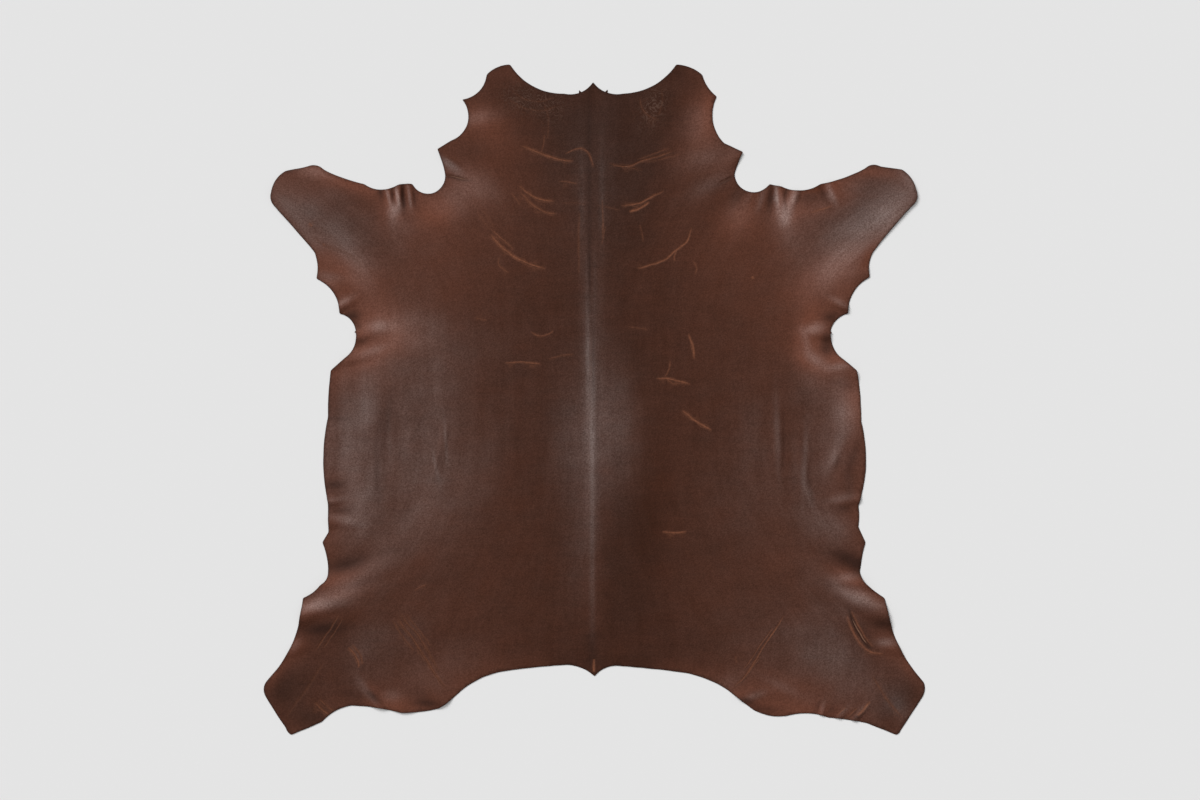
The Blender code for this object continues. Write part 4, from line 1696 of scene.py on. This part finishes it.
@dataclass(frozen=True)
class MarksAndPaintedLight:
    """How the marks lie: wax and painted sheen, warmth, painted shade, scars, loops, and the rim's
    painted shade. Sizes are in millimetres.
    """

    back_width: float = 350.0  # the firm back, where the finish is at its plainest
    # Wax and painted sheen: on the backbone, added past the back, its swing and wave length, and
    # its most.
    bloom: float = 0.07
    outer_bloom: float = 0.05
    bloom_swing: float = 0.12
    bloom_length: float = 90.0
    most_bloom: float = 2.0
    warmth: float = 0.085
    outer_warmth: float = 0.15
    thin_warmth: float = 0.12
    thin_width: float = 45.0  # the thin leather along the edge, which took more dye
    # Painted shade beside the grooves, and along the rim of the cut edge.
    groove_shade: float = 0.85
    groove_shift: tuple[float, float] = (1.5, -3.0)  # to the side of a groove away from the light
    rim_shade: float = 0.5
    rim_width: float = 3.5

    def marks(self, plan: Array, edge: Array, lines: FineLines) -> dict[str, Array]:
        """The attributes that the leather's material reads.

        The wax and painted sheen, and the warmth, grow from the backbone outwards, with one less e
        to the minus of (distance over the back's width) squared, and each table adds its patches.
        The thin leather and the rim's painted shade fade from the edge inwards, with e to the minus
        of (distance over their width) squared. The grooves' painted shade is moved to their side
        away from the light.

        Args:
            plan: Places in the tables' millimetres, one a row.
            edge: The cut edge.
            lines: The fine lines.

        Returns:
            Values for each place, by attribute name: up to 2 for the wax and painted sheen, and up
                to 1
            for the others.
        """
        outwards = 1 - np.exp(-((plan[:, 0] / self.back_width) ** 2))
        inset = ring_distance(plan, edge)
        thin = np.exp(-((inset / self.thin_width) ** 2))
        dark = np.clip(lines.marks(plan - self.groove_shift)[2], 0, 1)
        bloom = self.bloom + self.outer_bloom * outwards + patch_field(plan, WAX_AND_PAINTED_SHEEN)
        bloom *= 1 + self.bloom_swing * waves(plan, self.bloom_length, seed=7)
        warmth = self.warmth + self.outer_warmth * outwards + patch_field(plan, WARMTH)
        marks = {
            "warmth": warmth + self.thin_warmth * thin,
            "shade": patch_field(plan, SHADE) + self.groove_shade * dark,
            "scar": lines.marks(plan)[1],
            "loops": patch_field(plan, LOOPS),
            "rim": self.rim_shade * np.exp(-((inset / self.rim_width) ** 2)),
        }
        marks = {name: np.clip(values, 0, 1) for name, values in marks.items()}
        return {"bloom": np.clip(bloom, 0, self.most_bloom), **marks}


@dataclass
class Cowhide:
    """The hide: grain side, flesh side and cut edge as one closed sheet.

    Sizes are in millimetres.
    """

    thickness: float = 2.0
    grain_step: float = 11.5
    flesh_step: float = 19.0
    line_gap: float = 3.2  # clear gap round the fine lines' points
    lattice_gap: float = 0.45  # clear gap round the other rows' points, times the lattice's step
    edge_gap: float = 0.6  # clear gap inside the cut edge, times the edge's step
    unevenness: float = 0.2
    undulation: float = 170.0
    join_tolerance: float = 1e-7
    # The cut edge's round: how far in from the edge, and how far above the flesh side.
    rim_profile: tuple[tuple[float, float], ...] = (
        (0.9, 2.0), (0.25, 1.8), (0.0, 1.3), (0.0, 0.5), (0.5, 0.0),
    )
    edge: KnifeEdge = field(default_factory=KnifeEdge)
    folds: SoftFolds = field(default_factory=SoftFolds)
    lines: FineLines = field(default_factory=FineLines)
    # the marks, with the painted sheen and the painted shade
    wear: MarksAndPaintedLight = field(default_factory=MarksAndPaintedLight)
    hair_lay: HairLay = field(default_factory=HairLay)
    grain_finish: AnilineLeather = field(default_factory=AnilineLeather)
    cut_finish: CutFibre = field(default_factory=CutFibre)
    flesh_finish: FleshSuede = field(default_factory=FleshSuede)

    def inner_points(self, ring: Array, step: float, with_lines: bool) -> Array:
        """Points inside the ring: rows along the lines and folds, and a lattice between them.

        Args:
            ring: The surface's own outline.
            step: Side of the lattice's triangles.
            with_lines: Whether the fine lines get rows of their own.

        Returns:
            The points, one a row.
        """
        chosen = self.folds.rows(step / self.grain_step)
        if with_lines:
            rows = self.lines.rows()
            chosen = np.concatenate([rows, clear_of(chosen, rows, self.line_gap)])
        lattice = lattice_points(ring.min(axis=0), ring.max(axis=0), step)
        chosen = np.concatenate([chosen, clear_of(lattice, chosen, step * self.lattice_gap)])
        chosen = clear_of(chosen, ring, self.edge.step * self.edge_gap)
        return chosen[inside(chosen, ring)]

    def fill(self, ring: Array, inner: Array) -> Array:
        """Join the ring and the inner points into triangles, and drop those outside the ring.

        Only a triangle with all its corners on the ring can lie outside it.

        Args:
            ring: The outline, one point a row.
            inner: The points inside it.

        Returns:
            Corner numbers, counter-clockwise: ring points first, then inner points.
        """
        plan = np.concatenate([ring, inner])
        sides = [(place, (place + 1) % len(ring)) for place in range(len(ring))]
        joined = delaunay_2d_cdt(plan.tolist(), sides, [], 0, self.join_tolerance, False)
        if len(joined[0]) != len(plan):
            raise ValueError("two points of the hide fell together")
        triangles = np.array(joined[2])
        doubtful = np.flatnonzero((triangles < len(ring)).all(axis=1))
        outer = doubtful[~inside(plan[triangles[doubtful]].mean(axis=1), ring)]
        triangles = np.delete(triangles, outer, axis=0)
        first, second = (plan[triangles[:, k]] - plan[triangles[:, 0]] for k in (1, 2))
        turned = first[:, 0] * second[:, 1] < first[:, 1] * second[:, 0]
        triangles[turned] = triangles[turned][:, ::-1]
        return triangles

    def surfaces(self) -> tuple[Array, Array, Array, Array]:
        """Every vertex and face of the closed sheet.

        The rings of the cut edge come first, from the grain side down, then the inner points of
        the grain side and of the flesh side. A vertex stands at the folds' relief plus its place
        in the thickness. The unevenness and the fine lines' depth act on it by the square of its
        share of the thickness, so they leave the flesh side alone.

        Returns:
            Plan places in the tables' millimetres, heights, triangles, and each one's surface.
        """
        edge = self.edge.ring()
        outward = self.edge.outward(edge)
        rings = [edge - outward * inset for inset, _ in self.rim_profile]
        size, count = len(edge), len(rings)
        grain = self.inner_points(rings[0], self.grain_step, with_lines=True)
        flesh = self.inner_points(rings[-1], self.flesh_step, with_lines=False)
        plan = np.concatenate([*rings, grain, flesh])
        levels = np.repeat([level for _, level in self.rim_profile], size)
        inner_levels = np.repeat([self.thickness, 0.0], [len(grain), len(flesh)])
        lift = np.concatenate([levels, inner_levels])
        share = lift / self.thickness
        depth = self.lines.marks(plan)[0]
        uneven = self.unevenness * waves(plan, self.undulation, seed=3)
        height = self.folds.relief(plan) + lift + share**2 * (uneven - depth)

        last = (count - 1) * size
        upper = self.fill(rings[0], grain)
        upper = np.where(upper < size, upper, upper + last)
        lower = self.fill(rings[-1], flesh)
        lower = np.where(lower < size, lower + last, lower + last + len(grain))
        here = np.arange(size)
        after = (here + 1) % size
        rim = []
        for high in range(0, last, size):
            low = high + size
            rim.append(np.column_stack((here + low, after + low, after + high)))
            rim.append(np.column_stack((here + low, after + high, here + high)))
        faces = np.concatenate([upper, *rim, lower[:, ::-1]])
        kinds = np.repeat(
            [Surface.GRAIN.value, Surface.CUT.value, Surface.FLESH.value],
            [len(upper), 2 * last, len(lower)],
        )
        return plan, height, faces, kinds

    def build(self, box: tuple[Any, Any]) -> bpy.types.Object:
        """Make the sheet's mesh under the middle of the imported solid's box, and dress it.

        Args:
            box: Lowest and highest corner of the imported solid, in metres.

        Returns:
            The finished piece.
        """
        plan, height, faces, kinds = self.surfaces()
        edge = self.edge.ring()
        middle = (edge.min(axis=0) + edge.max(axis=0)) / 2
        centre = np.array([(box[0][axis] + box[1][axis]) / 2 for axis in (0, 1)])
        points = np.column_stack(((plan - middle) * MM + centre, height * MM + box[0][2]))
        mesh = bpy.data.meshes.new("cowhide")
        mesh.from_pydata(points.tolist(), [], faces.tolist())
        for finish in (self.grain_finish, self.cut_finish, self.flesh_finish):
            mesh.materials.append(finish.make())
        mesh.polygons.foreach_set("material_index", kinds.astype(np.int32))
        for name, values in self.wear.marks(plan, edge, self.lines).items():
            layer = mesh.attributes.new(name, "FLOAT", "POINT")
            layer.data.foreach_set("value", values.astype(np.float32))
        lay = mesh.attributes.new("lay", "FLOAT_VECTOR", "POINT")
        coordinates = self.hair_lay.coordinates(plan)
        lay.data.foreach_set("vector", coordinates.astype(np.float32).ravel())
        mesh.shade_smooth()
        mesh.update()
        piece = bpy.data.objects.new("cowhide", mesh)
        bpy.context.scene.collection.objects.link(piece)
        return piece

    def declare(self, piece: bpy.types.Object) -> None:
        """Attach the piece to the root body, and hide the imported solid."""
        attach(piece, "root")
        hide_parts("hide")


@dataclass(frozen=True)
class Lamp:
    """A soft studio light, as a sun with a wide disc, so that it is even all over the floor."""

    name: str
    strength: float
    disc: float  # degrees across
    tilt: float  # degrees from straight down
    bearing: float  # degrees from +X towards the neck, to where the light stands

    def place(self) -> bpy.types.Object:
        """Make the light and turn it towards the floor.

        Returns:
            The light.
        """
        data = bpy.data.lights.new(self.name, "SUN")
        data.energy = self.strength
        data.angle = math.radians(self.disc)
        lamp = bpy.data.objects.new(self.name, data)
        lamp.rotation_euler = (0, math.radians(self.tilt), math.radians(self.bearing))
        bpy.context.scene.collection.objects.link(lamp)
        return lamp


@dataclass
class Studio:
    """A pale floor, soft light and a camera straight above the hide. Sizes are in metres."""

    floor_side: float = 40.0
    floor_colour: str = "E7E7E7"
    floor_drop: float = 0.0004
    backdrop: str = "E4E4E4"
    fill: float = 0.22  # strength of the light from all round
    lens: float = 85.0  # millimetres, as the sensor is
    sensor: float = 36.0
    view_width: float = 4.1176  # how much of the floor the camera takes in, from side to side
    aim: tuple[float, float] = (0.0196, -0.0014)  # the place on the floor straight under it
    clip_end: float = 100.0
    lamps: tuple[Lamp, ...] = (
        Lamp("key light", 2.65, 32.0, 52.0, 128.0),
        Lamp("top light", 0.75, 20.0, 12.0, 135.0),
    )

    def floor(self) -> bpy.types.Object:
        """Make the floor.

        Returns:
            The floor.
        """
        half = self.floor_side / 2
        corners = [
            (x * half, y * half, -self.floor_drop) for x, y in ((-1, -1), (1, -1), (1, 1), (-1, 1))
        ]
        mesh = bpy.data.meshes.new("floor")
        mesh.from_pydata(corners, [], [(0, 1, 2, 3)])
        material, _, shader = start_material("matt painted studio floor")
        shader.inputs["Base Color"].default_value = linear_colour(self.floor_colour)
        shader.inputs["Roughness"].default_value = 1.0
        shader.inputs["Specular IOR Level"].default_value = 0.0
        mesh.materials.append(material)
        floor = bpy.data.objects.new("floor", mesh)
        bpy.context.scene.collection.objects.link(floor)
        return floor

    def world(self) -> None:
        """Fill light from all round, with a pale backdrop where the eye looks past the floor."""
        world = bpy.data.worlds.new("studio")
        world.use_nodes = True
        tree = world.node_tree
        fill = tree.nodes["Background"]
        fill.inputs["Color"].default_value = (1.0, 1.0, 1.0, 1.0)
        fill.inputs["Strength"].default_value = self.fill
        seen = add_node(tree, "ShaderNodeLightPath", {}).outputs["Is Camera Ray"]
        backdrop = add_node(tree, "ShaderNodeBackground", {"Color": linear_colour(self.backdrop)})
        both = add_node(
            tree, "ShaderNodeMixShader", {}, i0=seen, i1=fill.outputs[0], i2=backdrop.outputs[0]
        )
        tree.links.new(both.outputs[0], tree.nodes["World Output"].inputs["Surface"])
        bpy.context.scene.world = world

    def camera(self) -> bpy.types.Object:
        """Make the camera, as high as its lens needs to take in the view's width.

        Returns:
            The camera.
        """
        data = bpy.data.cameras.new("camera")
        data.lens = self.lens
        data.sensor_width = self.sensor
        camera = bpy.data.objects.new("camera", data)
        camera.location = (*self.aim, self.view_width * self.lens / self.sensor)
        data.clip_end = self.clip_end
        bpy.context.scene.collection.objects.link(camera)
        bpy.context.scene.camera = camera
        return camera

    def build(self) -> list[bpy.types.Object]:
        """Make the floor, the fill light, the lamps and the camera.

        Returns:
            The objects made.
        """
        floor = self.floor()
        self.world()
        lamps = [lamp.place() for lamp in self.lamps]
        bpy.context.scene.view_settings.view_transform = "Standard"
        return [floor, *lamps, self.camera()]


def main() -> None:
    """Load the frame, build the hide and the studio, and log the hide's vertices and triangles."""
    logging.basicConfig(level=logging.INFO, format="%(name)s: %(message)s")
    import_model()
    hide = Cowhide()
    piece = hide.build(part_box("hide"))
    hide.declare(piece)
    mesh = piece.data
    LOG.info("%s: %d vertices, %d triangles", piece.name, len(mesh.vertices), len(mesh.polygons))
    for item in Studio().build():
        LOG.info("%s: in place", item.name)


if __name__ == "__main__":
    main()
